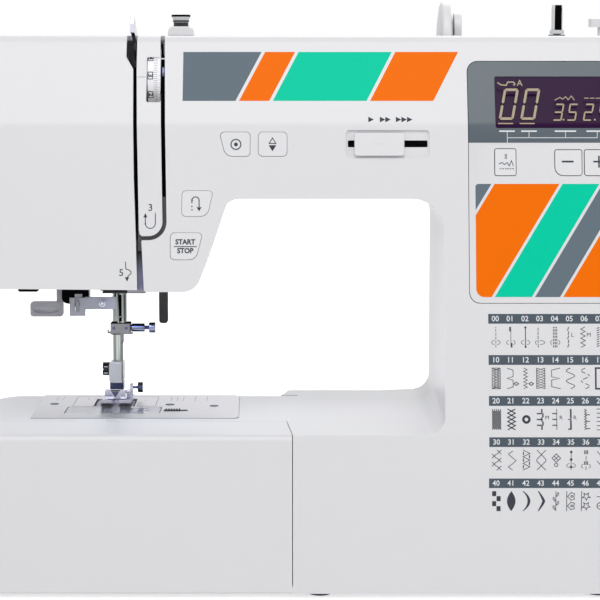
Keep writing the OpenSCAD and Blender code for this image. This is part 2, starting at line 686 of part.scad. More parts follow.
module take_up_lever() {
  color(steel)
  difference() {
    union() {
      along_x(lever_x[0], lever_x[1]) polygon(concat(arc([lever_y, lever_z], 5.4, -110, 220, 16),
        [[-14, 283.5], [-19, 286.5], [-26.5, 287.6], [-29, 284], [-27, 279.5], [-22, 279], [-14, 276]]));
    }
    rod_x(lever_x[0] - 1, lever_x[1] + 1, lever_y, lever_z, 3 + fit);
    rod_x(lever_x[0] - 1, lever_x[1] + 1, -24.5, 283.4, 1.5);
  }
}
module needle_threader() {
  color(grey) translate([1.2, 0, 1.2]) {
    // thumb tab on its stem
    pad_y(-174, -156.5, 128.6, 136.5, 4, 8, 1.6);
    block(-160, -156.4, 4.4, 7.6, 136, 176);
    // black slide body with its tongue
    pad_y(-156.7, -142.4, 135.5, 146, 2, 10, 4);
    block(-149.6, -147.6, 0.4, 3, 131.5, 137);
    // hook bracket and arm
    block(-152.6, -149.9, -0.6, 1.6, 129.5, 139.2);
    block(-147.3, -144.4, -0.6, 1.6, 129.5, 139.2);
    block(-152.6, -144.4, -0.6, 1.6, 129.5, 132);
    block(-144.5, -128.2, -0.6, 1.2, 133, 139.6);
    block(-150, -146, 1, 3, 136.5, 141);
  }
}
module pad_y(x0, x1, z0, z1, y0, y1, r) { along_y(y0, y1) polygon(rounded(box_outline(x0, x1, z0, z1, r), 4)); }

module head_lamp() {
  color(black) {
    pad_y(-132.8, -117, 147.5, 151.4, -30, -12, 1);
    block(-131, -109, -34, -17, 146.6, 147.5);
    block(-128, -120, -16, -12.2, 151, 156);
  }
}

// ---- presser side --------------------------------------------------------------------------
module presser_bar() {
  color(steel) {
    rod_z(foot_x, presser_y, 92.5, 232, presser_bar_d / 2);
    // lifting bracket over the cam, and the collar under the spring
    difference() {
      union() {
        block(-132, -116.2, 17, 26, 166.6, 170);
        block(-119, -116.2, 17, 41, 155, 157.6);
        block(-119, -116.2, 17, 19.6, 155, 168);
      }
      rod_z(foot_x, presser_y, 166, 172, presser_bar_d / 2);
    }
    difference() {
      rod_z(foot_x, presser_y, 185, 188, 5);
      rod_z(foot_x, presser_y, 184, 189, presser_bar_d / 2);
    }
  }
}
spring_turns = 8;
module presser_spring() {
  color(steel) {
    translate([foot_x, presser_y, 188.4])
      linear_extrude(29, twist = -360 * spring_turns, slices = 12 * spring_turns, $fn = 6)
        translate([4.4, 0]) circle(r = 0.8, $fn = 6);
  }
}
module foot_holder() {
  color([0.78, 0.78, 0.8])
  difference() {
    union() {
      pad_y(-132.3, -124.4, 92.4, 103.7, 15.6, 26, 1.6);
      block(-131.9, -124.5, 16, 24, 88.6, 92.6);
      block(-131.9, -129.4, 16, 23, 90, 93);
    }
    rod_z(foot_x, presser_y, 91, 105, presser_bar_d / 2);
    rod_x(-133, -127.9 - presser_bar_d / 2, presser_y, 99.1, 1.55);
  }
}
module foot_holder_screw() {
  color(black) {
    rod_x(-132.4, -131, presser_y, 99.1, 1.5);
    difference() {
      rod_x(-136, -132.4, presser_y, 99.1, 3.6);
      block(-136.5, -135.2, presser_y - 4, presser_y + 4, 98.7, 99.5);
    }
  }
}
sole_z = plate_top + gap;
module presser_foot() {
  color(steel) {
    difference() {
      union() {
        block(-135.3, -119.1, -1, 26, sole_z, sole_z + sole_t);
        // turned-up toes
        for (x = [-135, -125.2]) along_x(x, x + 6.1)
          polygon([[-0.5, sole_z], [-0.5, sole_z + sole_t], [-5, sole_z + sole_t + 1], [-9, sole_z + sole_t + 2.6], [-9, sole_z + 2.6], [-5, sole_z + 0.9]]);
      }
      pad_z(foot_x - slot_half, foot_x + slot_half, needle_y - 2.4, needle_y + 2.4, sole_z - 1, sole_z + 5, 1);
      block(foot_x - 1.4, foot_x + 1.4, -2, needle_y - 3.6, sole_z - 1, sole_z + 5);
    }
    // cheeks and pin
    for (x = [-134.8, -122.8]) block(x, x + 1.8, 16, 25, sole_z + sole_t - 0.1, 87.6);
    rod_x(-134.9, -121.2, 20, 86.8, 1);
    // levelling button on the right cheek
    block(-121.2, -119.8, 18, 22, sole_z + sole_t - 0.1, 91.6);
    rod_x(-120, -117, 20, 89.3, 0.7);
    rod_x(-117.1, -114.4, 20, 89.3, 2.8);
  }
}
module presser_lifter() {
  color(black) {
    rod_x(-118.8, -101.6, 34, 150, 3);
    along_x(-118.8, -116.4) translate([34, 150]) polygon(concat(arc([0, 0], 4.2, 90, 180, 10), arc([6.6, 0], 3, -90, 180, 10)));
    pad_y(-106.2, -101.4, 122.6, 153, 32, 36.4, 1.6);
    along_y(32.4, 36) polygon([[-106.2, 146], [-101.4, 146], [-99.9, 149], [-99.9, 153.5], [-106.2, 153.5]]);
  }
}

// ---- tension and threading -------------------------------------------------------------------
dial_y = -23.6;
dial_z = 255.6;
module tension_dial() {
  color([0.92, 0.92, 0.92])
  difference() {
    rod_x(-106.6, -100.1, dial_y, dial_z, 15.4);
    rod_x(-107, -99, dial_y, dial_z, 3 + fit);
    for (i = [0:47]) translate([0, dial_y, dial_z]) rotate([i * 7.5, 0, 0]) rod_x(-101.4, -100, 0, 15.6, 0.5, $fn = 14);
  }
}
module tension_unit() {
  color(steel) {
    rod_x(-109.4, -84, dial_y, dial_z, 3);
    for (x = [-99.4, -97.6]) ring_x(x, x + 1, dial_y, dial_z, 11, 3);
    ring_x(-96, -90, dial_y, dial_z, 5, 3);
    difference() {
      block(-90, -87, dial_y - 7, frame_y, 246, 262);
      rod_x(-91, -86, dial_y, dial_z, 3);
    }
  }
}
module thread_guide() {
  color(steel) {
    pad_z(-98.9, -85.2, 1, 17, top_z, 283, 3);
    rod_z(-92, 9, 283, 284.6, 3.6);
    translate([-92, 9, 284.4]) rotate_extrude() polygon([[0, 0], [4.6, 0], [4.8, 0.6], [3.4, 2.2], [4.8, 3.8], [4.4, 4.4], [0, 4.4]]);
  }
}

// ---- top -----------------------------------------------------------------------------------
spool_y = 28.6;
spool_z = 275.4;
module spool_pin() {
  color(white) {
    pad_y_block();
    rod_x(-24, 54, spool_y, spool_z, 2.6);
  }
}
module pad_y_block() {
  along_x(52.4, 56.4) polygon(rounded([[spool_y - 9, tray_z + 2, 0], [spool_y + 9, tray_z + 2, 0], [spool_y + 9, 290, 8], [spool_y - 9, 290, 8]], 5));
}
module spool_cap() {
  color(white) {
    translate([0, spool_y, spool_z]) rotate([0, 90, 0]) rotate_extrude($fn = 64)
      polygon([[2.65, 43.9], [10, 43.9], [18.6, 45], [20.2, 45.8], [20.6, 47], [20.6, 49], [20.2, 50.1], [12, 51.4], [9, 51.4], [9, 48.6], [2.65, 48.6]]);
  }
}
module winder_arm() {
  color([0.3, 0.3, 0.32])
  difference() {
    union() {
      rod_z(winder[0], winder[1], 262, top_z + 0.6, 4.4);
      block(winder[0] - 4, winder[0] + 5, winder[1] - 7, winder[1] + 12, 258.4, 262);
    }
    rod_z(winder[0], winder[1], 257, top_z + 2, 2 + fit);
  }
}
module winder_spindle() {
  color(steel) {
    rod_z(winder[0], winder[1], 256, 280, 2);
    rod_z(winder[0], winder[1], 279, 281, 3.7);
    rod_z(winder[0], winder[1], 281, 291.6, 2.95);
    translate([winder[0], winder[1], 291.6]) cylinder(r1 = 2.95, r2 = 2.7, h = 2.4);
    rod_z(winder[0], winder[1], 254, 256.2, 5);
  }
}
module carrying_handle() {
  color(white)
  difference() {
    union() {
      for (s = [-1, 1]) along_x(s * 66.4 - 3.4, s * 66.4 + 3.4)
        polygon(concat(arc([back + 8, 262], 6.2, -20, 200, 12), [[back + 14.6, 214], [handle_back, 214], [handle_back, 230]]));
      along_x(-69.8, 69.8) polygon(rounded([[back + 14.6, 214, 4], [handle_back, 214, 4], [handle_back, 229, 4], [back + 14.6, 229, 4]], 4));
    }
    rod_x(-80, 80, back + 8, 262, 3 + fit);
  }
}

// ---- extension table -------------------------------------------------------------------------
table_back = 36;
module extension_table() {
  color(white)
  difference() {
    intersection() {
      union() {
        block(left_x, table_x - seam, front, arm_front - 0.5, base_z, bed_z);
        block(left_x, arm_left - 0.6, arm_front - 1, table_back, base_z, bed_z);
      }
      along_x(left_x - 1, table_x) polygon(rounded([[front, base_z, 1], [table_back + 1, base_z, 0], [table_back + 1, bed_z, 0], [rim_y, bed_z, 3.5], [rim_y, rim_z - 3, 0]], 4));
      translate([0, 0, base_z - 1]) linear_extrude(bed_z) polygon(rounded([[left_x, front, 8], [table_x - seam, front, 0], [table_x - seam, front + 4, 0],
        [table_x - seam - table_slant, arm_front - 1, 0], [table_x - seam - table_slant, table_back, 0], [left_x, table_back, 20]], 6));
    }
    // storage compartment, open towards the free arm
    block(left_x + 9, table_x - table_slant - seam - wall, front + wall + 2.6, arm_front + 1, base_z + wall, bed_z - wall);
  }
}

// ---- electrics -----------------------------------------------------------------------------
module circuit_boards() {
  color([0.1, 0.4, 0.2]) {
    block(60, 143, -27, -25.4, 152, 228);
    for (x = [66, 136]) rod_y(x, 160, -63, -26.5, 2.4);
    block(64, 170, -74, -14, 14, 15.6);
    for (x = [70, 164]) for (y = [-68, -20]) rod_z(x, y, base_z + 3, 14.4, 2.4);
    block(120, 160, -70, -36, 15.4, 44);
    block(74, 100, -60, -40, 15.4, 26);
  }
}
module power_inlet() {
  color(black) {
    difference() {
      block(164, case_right + 0.4, 32, 52, 20, 40);
      block(172, case_right + 1, 35, 49, 24, 36);
    }
    for (y = [39, 45]) rod_x(171, 178, y, 30, 1.2);
    ring_x(166, case_right + 0.4, 42, 86, 6, 3.2);
    difference() {
      block(164, case_right + 0.4, 34, 50, 48, 74);
      block(168, case_right + 1, 36.4, 47.6, 51, 71);
      rod_y(175, 61, 35, 49, 1.2 + fit);
    }
  }
}
module power_switch() {
  color(black) {
    rod_y(175, 61, 35.4, 48.6, 1.2);
    along_y(36.8, 47.2) polygon([[172, 55], [177, 53.6], [180.2, 53.6], [181, 61], [182.6, 68.4], [177, 68.4], [172, 67]]);
  }
}

module control_panel() {
  color(grey)
  difference() {
    intersection() {
      along_y(front - 2, 0) face_of(panel, 0);
      front_layer(0, 2.4);
    }
    along_y(front - 2, 0) {
      face_of(window, 0);
      for (k = [mode_k, minus_k, plus_k]) face_of(k, gap);
    }
  }
}
module display_window() {
  color([0.16, 0.02, 0.2]) {
    intersection() {
      along_y(front - 2, 0) face_of(window, -0.1);
      front_layer(0.4, 2);
    }
  }
}
module mode_key() { color(white) front_button(mode_k, 0, 2.4, 0.5); }
module minus_key() { color(white) front_button(minus_k, 0, 2.4, 0.5); }
module plus_key() { color(white) front_button(plus_k, 0, 2.4, 0.5); }
module start_stop_button() { color(white) front_button(start_stop, 0, 2.6, 0); }
module reverse_button() { color(white) front_button(reverse, 0, 2.6, 0); }
module lock_stitch_button() { color(white) front_button(lock_stitch, 0, 2.6, 0); }
module needle_position_button() { color(white) front_button(needle_pos, 0, 2.6, 0); }
knob = box_outline(-2.2, 22.7, 218.4, 229.6, 1.4);
module speed_slider() {
  color(white) {
    intersection() {
      along_y(front - 4, 0) face_of(knob, 0);
      translate([0, -1.6, 0]) front_layer(0, 2.3);
    }
    block(7, 13, -54, -44, 222.9, 225.3);
  }
}

base_plate();
rubber_feet();
front_cover();
rear_cover();
face_cover();
top_cover();
free_arm_cover();
needle_plate();
control_panel();
display_window();
circuit_boards();
machine_frame();
drive_motor();
drive_belts();
head_lamp();
power_inlet();
cover_screws();
bobbin_holder();
spool_pin();
thread_guide();
tension_unit();
handwheel();
upper_shaft();
motor_pulley();
lower_shaft();
rotary_hook();
connecting_rod();
needle_bar();
needle_clamp();
needle_clamp_screw();
needle();
take_up_lever();
presser_bar();
presser_spring();
foot_holder();
foot_holder_screw();
presser_foot();
presser_lifter();
tension_dial();
needle_threader();
start_stop_button();
reverse_button();
lock_stitch_button();
needle_position_button();
speed_slider();
mode_key();
minus_key();
plus_key();
winder_arm();
winder_spindle();
bobbin();
hook_cover_plate();
hook_cover_latch();
extension_table();
feed_bar();
feed_dog();
drop_feed_lever();
carrying_handle();
power_switch();
spool_cap();
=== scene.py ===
import contextlib
import json
import math

import bmesh
import bpy
from bpy.props import FloatProperty, FloatVectorProperty, PointerProperty
from mathutils import Matrix, Vector

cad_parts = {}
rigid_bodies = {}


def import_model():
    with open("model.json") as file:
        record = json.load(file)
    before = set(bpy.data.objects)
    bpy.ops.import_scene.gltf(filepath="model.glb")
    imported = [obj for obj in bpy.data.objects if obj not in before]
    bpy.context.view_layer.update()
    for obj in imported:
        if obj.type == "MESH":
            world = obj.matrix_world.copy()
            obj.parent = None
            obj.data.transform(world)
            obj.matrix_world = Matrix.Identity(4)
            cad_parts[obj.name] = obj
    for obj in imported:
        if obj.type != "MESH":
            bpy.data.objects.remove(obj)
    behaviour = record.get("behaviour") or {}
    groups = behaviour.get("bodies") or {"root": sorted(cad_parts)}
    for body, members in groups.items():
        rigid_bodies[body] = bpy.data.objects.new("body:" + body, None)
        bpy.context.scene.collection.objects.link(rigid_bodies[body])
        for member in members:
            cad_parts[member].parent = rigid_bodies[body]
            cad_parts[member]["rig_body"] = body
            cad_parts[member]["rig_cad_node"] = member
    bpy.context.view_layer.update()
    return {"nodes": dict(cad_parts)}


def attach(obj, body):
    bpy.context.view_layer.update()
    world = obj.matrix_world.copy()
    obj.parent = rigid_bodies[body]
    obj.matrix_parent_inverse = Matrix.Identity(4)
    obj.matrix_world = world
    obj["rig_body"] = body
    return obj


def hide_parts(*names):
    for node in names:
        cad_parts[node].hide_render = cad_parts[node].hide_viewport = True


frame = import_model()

bl_info = {
    "name": "Computerised Sewing Machine",
    "version": (1, 0, 0),
    "blender": (4, 5, 0),
    "location": "View3D > Sidebar > Sewing Machine",
    "description": "Covers, panel, stitch chart and needle area dressed over a sewing machine frame",
    "category": "Object",
}

MM = 0.001


# ---- sizes and colours a user may change -------------------------------------------------------
def millimetres(label, default, text):
    return FloatProperty(name=label, description=text, default=default * MM, min=0.0, unit="LENGTH", precision=5)


def colour(label, default, text):
    return FloatVectorProperty(name=label, description=text, default=default, size=3, min=0.0, max=1.0,
                               subtype="COLOR_GAMMA")


class MachineSizes(bpy.types.PropertyGroup):
    wall: millimetres("Wall", 2.5, "Thickness of the moulded covers")
    end_round: millimetres("End rounding", 10.0, "Radius of the upright edges at both ends of the casing")
    pillar_round: millimetres("Pillar rounding", 5.6, "Radius of the front edge of the pillar beside the throat")
    bed_round: millimetres("Bed rounding", 7.0, "Radius of the rear edge of the bed")
    edge_round: millimetres("Edge rounding", 2.5, "Radius of the front edges under the arm and head")
    seam_round: millimetres("Seam rounding", 0.35, "Radius of the edges where two covers meet")
    print_thickness: millimetres("Print thickness", 0.12, "How far printed marks stand in the surface")


class MachineColours(bpy.types.PropertyGroup):
    casing: colour("Casing", (0.905, 0.905, 0.915), "Moulded white covers")
    panel: colour("Panel", (0.315, 0.362, 0.397), "Painted grey of the control panel")
    orange: colour("Orange", (1.0, 0.46, 0.0), "Orange of the printed shapes")
    teal: colour("Teal", (0.0, 0.835, 0.67), "Teal of the printed shapes")
    slate: colour("Slate", (0.42, 0.475, 0.515), "Grey of the printed shapes")
    ink: colour("Ink", (0.27, 0.28, 0.31), "Printed lettering and stitch symbols")
    chart: colour("Chart bands", (0.34, 0.38, 0.42), "Bands behind the stitch numbers")
    display: colour("Display", (0.165, 0.02, 0.2), "Unlit part of the display")
    digits: colour("Digits", (0.71, 0.645, 0.545), "Segments of the display")


def sizes():
    return bpy.context.scene.machine_sizes


def colours():
    return bpy.context.scene.machine_colours


# ---- small modelling steps ---------------------------------------------------------------------
def clear_choice():
    if bpy.context.object is not None and bpy.context.object.mode != "OBJECT":
        bpy.ops.object.mode_set(mode="OBJECT")
    bpy.ops.object.select_all(action="DESELECT")


def pick(*pieces):
    clear_choice()
    for piece in pieces:
        piece.select_set(True)
    bpy.context.view_layer.objects.active = pieces[0]


def settle(*pieces):
    """Puts each piece's place, turn and size into its mesh."""
    pick(*pieces)
    bpy.ops.object.transform_apply(location=True, rotation=True, scale=True)


@contextlib.contextmanager
def editing(piece):
    """Edit mode with all of one piece selected, and back again."""
    pick(piece)
    bpy.ops.object.mode_set(mode="EDIT")
    bpy.ops.mesh.select_all(action="SELECT")
    yield
    bpy.ops.object.mode_set(mode="OBJECT")


def face_outwards(piece):
    with editing(piece):
        bpy.ops.mesh.normals_make_consistent(inside=False)


def shift_points(piece, chosen, step):
    """Moves the points that are chosen by their place, all in millimetres."""
    with editing(piece):
        bpy.ops.mesh.select_mode(type="VERT")
        bpy.ops.mesh.select_all(action="DESELECT")
    for vertex in piece.data.vertices:
        vertex.select = chosen(vertex.co / MM)
    bpy.ops.object.mode_set(mode="EDIT")
    bpy.ops.transform.translate(value=Vector(step) * MM)
    bpy.ops.object.mode_set(mode="OBJECT")


def wire(name, points, closed=True):
    """A mesh of edges along a line of points, drawn as a curve and converted."""
    curve = bpy.data.curves.new(name, "CURVE")
    curve.dimensions = "3D"
    spline = curve.splines.new("POLY")
    spline.points.add(len(points) - 1)
    for point, place in zip(spline.points, points):
        point.co = (*place, 1.0)
    spline.use_cyclic_u = closed
    made = bpy.data.objects.new(name, curve)
    bpy.context.scene.collection.objects.link(made)
    pick(made)
    bpy.ops.object.convert(target="MESH")
    return bpy.context.object


PLANES = {"xy": (0, 0, 0), "xz": (math.pi / 2, 0, 0), "yz": (math.pi / 2, 0, math.pi / 2)}


def slab(name, outline, plane, low, high):
    """A flat outline in millimetres, raised to a solid from low to high across its plane."""
    piece = wire(name, [(p[0] * MM, p[1] * MM, 0.0) for p in outline])
    with editing(piece):
        bpy.ops.mesh.edge_face_add()
        bpy.ops.mesh.extrude_region_move(TRANSFORM_OT_translate={"value": (0, 0, (high - low) * MM)})
        bpy.ops.mesh.select_all(action="SELECT")
        bpy.ops.mesh.normals_make_consistent(inside=False)
    piece.rotation_euler = PLANES[plane]
    start = high if plane == "xz" else low
    piece.location = {"xy": (0, 0, start * MM), "xz": (0, start * MM, 0), "yz": (start * MM, 0, 0)}[plane]
    settle(piece)
    return piece


def block(name, x0, x1, y0, y1, z0, z1):
    """A box between two corners in millimetres."""
    clear_choice()
    bpy.ops.mesh.primitive_cube_add(size=1, location=((x0 + x1) / 2 * MM, (y0 + y1) / 2 * MM, (z0 + z1) / 2 * MM))
    piece = bpy.context.object
    piece.name = piece.data.name = name
    piece.scale = ((x1 - x0) * MM, (y1 - y0) * MM, (z1 - z0) * MM)
    settle(piece)
    return piece


TURN_TO = {"x": (0, math.pi / 2, 0), "y": (-math.pi / 2, 0, 0), "z": (0, 0, 0)}


def turned(name, profile, axis, place, sides=48):
    """A closed profile of (radius, height) in millimetres, spun once round an axis through a place."""
    piece = wire(name, [(r * MM, 0.0, h * MM) for r, h in profile], closed=profile[0][0] > 0)
    with editing(piece):
        bpy.ops.mesh.spin(steps=sides, angle=math.tau, center=(0, 0, 0), axis=(0, 0, 1), use_auto_merge=True)
        bpy.ops.mesh.select_all(action="SELECT")
        bpy.ops.mesh.remove_doubles(threshold=1e-6)
        bpy.ops.mesh.normals_make_consistent(inside=False)
    piece.rotation_euler = TURN_TO[axis]
    piece.location = [c * MM for c in place]
    settle(piece)
    return piece


def rod(name, axis, place, radius, low, high, edge=0.2, sides=32):
    """A round bar with softened ends. Low and high are along its axis."""
    place = list(place)
    place["xyz".index(axis)] = 0
    return turned(name, [(0, low), (radius - edge, low), (radius, low + edge), (radius, high - edge),
                         (radius - edge, high), (0, high)], axis, place, sides)


def joined(name, pieces):
    pick(*pieces)
    if len(pieces) > 1:
        bpy.ops.object.join()
    piece = bpy.context.object
    piece.name = piece.data.name = name
    return piece


def combine(piece, other, how):
    """Cuts, adds or keeps what is common with another solid."""
    pick(piece)
    step = piece.modifiers.new("combine", "BOOLEAN")
    step.operation = how
    step.solver = "EXACT"
    step.object = other
    bpy.ops.object.modifier_apply(modifier=step.name)
    bpy.data.objects.remove(other)
    return piece


def cut(piece, *others):
    for other in others:
        combine(piece, other, "DIFFERENCE")
    return piece


def copied(piece, name):
    pick(piece)
    bpy.ops.object.duplicate()
    made = bpy.context.object
    made.name = made.data.name = name
    return made


def mark_edges(piece, weight):
    """Bevel weights from a function of an edge's two ends and the angle between its faces."""
    mesh = piece.data
    angle_of = {}
    shape = bmesh.new()
    shape.from_mesh(mesh)
    shape.edges.ensure_lookup_table()
    for edge in shape.edges:
        if len(edge.link_faces) == 2:
            angle_of[edge.index] = edge.calc_face_angle(0.0)
    values = [0.0] * len(mesh.edges)
    for edge in shape.edges:
        if edge.index in angle_of:
            ends = [v.co / MM for v in edge.verts]
            values[edge.index] = weight(ends[0], ends[1], angle_of[edge.index])
    shape.free()
    layer = mesh.attributes.get("bevel_weight_edge") or mesh.attributes.new("bevel_weight_edge", "FLOAT", "EDGE")
    layer.data.foreach_set("value", values)


def rounded_off(piece, width, segments=3, angle=None):
    """Rounds the marked edges, or all edges sharper than an angle in degrees."""
    pick(piece)
    step = piece.modifiers.new("round", "BEVEL")
    step.width = width
    step.segments = segments
    step.use_clamp_overlap = True
    step.miter_outer = "MITER_ARC" if angle is None else "MITER_SHARP"
    if angle is None:
        step.limit_method = "WEIGHT"
    else:
        step.limit_method = "ANGLE"
        step.angle_limit = math.radians(angle)
    bpy.ops.object.modifier_apply(modifier=step.name)
    return piece


def smooth(piece, angle=32):
    """Smooth shading with flat faces kept flat."""
    pick(piece)
    bpy.ops.object.shade_smooth_by_angle(angle=math.radians(angle))
    step = piece.modifiers.new("flats", "WEIGHTED_NORMAL")
    step.keep_sharp = True
    step.weight = 90
    bpy.ops.object.modifier_apply(modifier=step.name)
    return piece


def tidy_mesh(piece, distance=1e-6):
    with editing(piece):
        bpy.ops.mesh.remove_doubles(threshold=distance)
        bpy.ops.mesh.dissolve_degenerate(threshold=distance)
    return piece


SHARP_ANGLE = 40


def dressed(node, width, segments=2, shape=None, keep_sharp=None):
    """A merged copy of a CAD node with its sharp edges rounded by a width in millimetres."""
    piece = frame["nodes"][node].copy()
    piece.data = piece.data.copy()
    piece.name = piece.data.name = node + "_moulded"
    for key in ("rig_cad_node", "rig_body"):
        if key in piece:
            del piece[key]
    piece.parent = None
    bpy.context.scene.collection.objects.link(piece)
    piece.data.materials.clear()
    with editing(piece):
        bpy.ops.mesh.customdata_custom_splitnormals_clear()
        bpy.ops.mesh.remove_doubles(threshold=2e-6)
        bpy.ops.mesh.dissolve_limited(angle_limit=math.radians(0.6))
    if shape:
        shape(piece)
    if keep_sharp:
        mark_edges(piece, lambda a, b, turn: float(turn > math.radians(SHARP_ANGLE) and not keep_sharp(a, b)))
        rounded_off(piece, width * MM, segments)
    else:
        rounded_off(piece, width * MM, segments, SHARP_ANGLE)
    smooth(piece)
    return piece


def finish_piece(piece, body, slot, material, *nodes):
    """Gives a piece its material and its body, and hides the CAD nodes that it stands for; the slot is not used."""
    piece.data.materials.clear()
    piece.data.materials.append(material)
    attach(piece, body)
    if nodes:
        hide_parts(*nodes)
    return piece


def moulding(node, width, segments, body, slot, finish, shape=None, keep_sharp=None):
    """A dressed CAD node with its finish, which stands for the node."""
    piece = dressed(node, width, segments, shape, keep_sharp)
    return finish_piece(piece, body, slot, finishes()[finish], node)


def complete(piece, body, slot, finish, rounding=None, nodes=(), flat=32):
    """Rounds a small piece by (width in millimetres, steps, angle), smooths it and gives it its finish."""
    if rounding:
        width, segments, angle = rounding
        rounded_off(piece, width * MM, segments, angle)
    smooth(piece, flat)
    return finish_piece(piece, body, slot, finishes()[finish], *nodes)


# ---- outlines ----------------------------------------------------------------------------------
def corner(a, p, b, radius, steps):
    """Corner p between neighbours a and b, turned with a radius."""
    if radius < 0.05:
        return [tuple(p)]
    a, p, b = Vector(a), Vector(p), Vector(b)
    u, v = (a - p).normalized(), (b - p).normalized()
    half = math.acos(max(-1, min(1, u.dot(v)))) / 2
    centre = p + (u + v).normalized() * radius / math.sin(half)
    start = p + u * radius / math.tan(half) - centre
    end = p + v * radius / math.tan(half) - centre
    a0 = math.atan2(start.y, start.x)
    turn = (math.atan2(end.y, end.x) - a0 + 3 * math.pi) % math.tau - math.pi
    return [(centre.x + radius * math.cos(a0 + turn * i / steps), centre.y + radius * math.sin(a0 + turn * i / steps))
            for i in range(steps + 1)]


def rounded(points, steps=8):
    """Outline of (x, y, radius) corners, listed anticlockwise."""
    count = len(points)
    made = []
    for i, p in enumerate(points):
        before, after = points[i - 1], points[(i + 1) % count]
        made += corner(before[:2], p[:2], after[:2], p[2], steps)
    return made


def inset(points, distance):
    """The same outline moved inwards."""
    made = []
    count = len(points)
    for i, p in enumerate(points):
        a, b = Vector(points[i - 1][:2]), Vector(points[(i + 1) % count][:2])
        q = Vector(p[:2])
        u, v = (q - a).normalized(), (b - q).normalized()
        nu, nv = Vector((-u.y, u.x)), Vector((-v.y, v.x))
        place = q + distance * (nu + nv) / (1 + nu.dot(nv))
        left = u.x * v.y - u.y * v.x > 0
        radius = 0 if p[2] == 0 else max(p[2] - distance, 0) if left else p[2] + distance
        made.append((place.x, place.y, radius))
    return made


def box_outline(x0, x1, z0, z1, r=0):
    return [(x0, z0, r), (x1, z0, r), (x1, z1, r), (x0, z1, r)]


def arc(cx, cy, r, start, sweep, steps):
    return [(cx + r * math.cos(math.radians(start + sweep * i / steps)),
             cy + r * math.sin(math.radians(start + sweep * i / steps)))
            for i in range(steps + 1)]


def ring(cx, cy, r, steps=24):
    return arc(cx, cy, r, 0, 360, steps)[:-1]


# ---- casing ------------------------------------------------------------------------------------
FRONT, REAR, BASE_Z, BED_Z, TOP_Z = -88.0, 62.0, 2.6, 82.0, 278.0
LEFT_X, RIGHT_X, TABLE_X, PILLAR_X = -201.0, 180.0, -33.0, 42.4
RIM_Y, RIM_Z, CREASE_Y, CREASE_Z = -85.5, 79.0, -50.0, 234.0
BROW_RUN, BROW_RISE = 17, 38
SPLIT_Y, SEAM, SLOT_X = 25.0, 0.4, -112.2
HEAD_Z, LOBE_Z, ARM_Z, STRIP_LOW = 153.0, 151.3, 197.0, 178.7
STRIP_INNER, STRIP_OUTER = 6.9, 9
STRIP_ARC = (-105.1, STRIP_LOW + STRIP_INNER)
TABLE_SLANT = 3.1
LOBE_X, LOBE_SLANT = -81.4, 0.346
LOBE_TOP_X = LOBE_X + (ARM_Z - HEAD_Z) * LOBE_SLANT
BED_CORNER, ARM_CORNER = 9, 16
SIDE_VIEW = [(FRONT, BASE_Z, 0), (REAR, BASE_Z, 0), (REAR, TOP_Z, 14),
             (CREASE_Y + (TOP_Z - CREASE_Z) * BROW_RUN / BROW_RISE, TOP_Z, 8),
             (CREASE_Y, CREASE_Z, 14), (RIM_Y, RIM_Z, 0)]


def throat_outline(low):
    """Front view of the casing, as the space that it fills; low is the height under the head."""
    return [(TABLE_X, BASE_Z - 1, 0), (RIGHT_X + 1, BASE_Z - 1, 0), (RIGHT_X + 1, TOP_Z + 1, 0),
            (LEFT_X - 1, TOP_Z + 1, 0),
            (LEFT_X - 1, low, 0), (LOBE_X, min(low, HEAD_Z - 1), 9), (LOBE_TOP_X, ARM_Z, 9),
            (PILLAR_X, ARM_Z, ARM_CORNER),
            (PILLAR_X, BED_Z, BED_CORNER), (TABLE_X, BED_Z, 0)]


FACE_EDGE = [(SLOT_X - 1.7, TOP_Z + 1), (SLOT_X - 1.7, 262), (-112.7, 207), (-111.3, 174), (-110.4, HEAD_Z - 2)]
FACE_ZONE = [(LEFT_X - 1, HEAD_Z - 9), (-110.4, HEAD_Z - 9), *reversed(FACE_EDGE), (LEFT_X - 1, TOP_Z + 1)]
STRIP_EDGE = [(SLOT_X + 0.1, TOP_Z + 1), (SLOT_X + 0.1, 262), (-109.9, STRIP_LOW + 3), (-109.5, STRIP_LOW + 0.9),
              (-108.4, STRIP_LOW)]
LOBE_EDGE = [(-108.6, STRIP_LOW - 2.7), (-107.2, LOBE_Z + 1.4), (-106.8, LOBE_Z + 0.4), (-105.8, LOBE_Z - 0.1)]
FRONT_ZONE = [*STRIP_EDGE, (-108.4, STRIP_LOW - 2.1), *LOBE_EDGE, (-105.8, HEAD_Z - 9),
              (TABLE_X - 4, HEAD_Z - 9), (TABLE_X - 4, 0), (RIGHT_X + 1, 0), (RIGHT_X + 1, TOP_Z + 1)]
THREAD_SLOT = ([(-100.4, TOP_Z + 1), (-98.2, STRIP_ARC[1])] + arc(*STRIP_ARC, STRIP_INNER, 0, -90, 8)
               + [(-109.6, STRIP_LOW), (-109.6, STRIP_LOW - 2.1)] + arc(*STRIP_ARC, STRIP_OUTER, -90, 90,
                                                                        10) + [(-98.2, TOP_Z + 1)])
# bounds in millimetres of the painted shade on the casing's inner walls behind the threading slots
SLOTS_LEFT, SLOTS_RIGHT, SLOTS_LOW, SLOTS_HIGH, SLOT_EDGE = -135, -86, 155, 262, 2.3
TAKE_UP_GAP = [(-117.5, TOP_Z + 1), (-117.5, 267.3), (-113.8, 261), (SLOT_X + 0.6, 261), (SLOT_X + 0.6, TOP_Z + 1)]
START_STOP = [(-94.2, 167.1, 2.2), (-81.4, 167.1, 4.4), (-78, 180.3, 1.8), (-94.2, 180.3, 2.2)]
REVERSE = [(-88.5, 188.4, 2), (-75.8, 188.4, 4.4), (-72.9, 201, 1.8), (-88.5, 201, 2.2)]
LOCK_STITCH = [(-66.8, 218, 4.4), (-54.5, 218, 1.8), (-54.5, 230, 2), (-70, 230, 2)]
NEEDLE_POS = box_outline(-50.4, -36, 218, 230, 2.2)
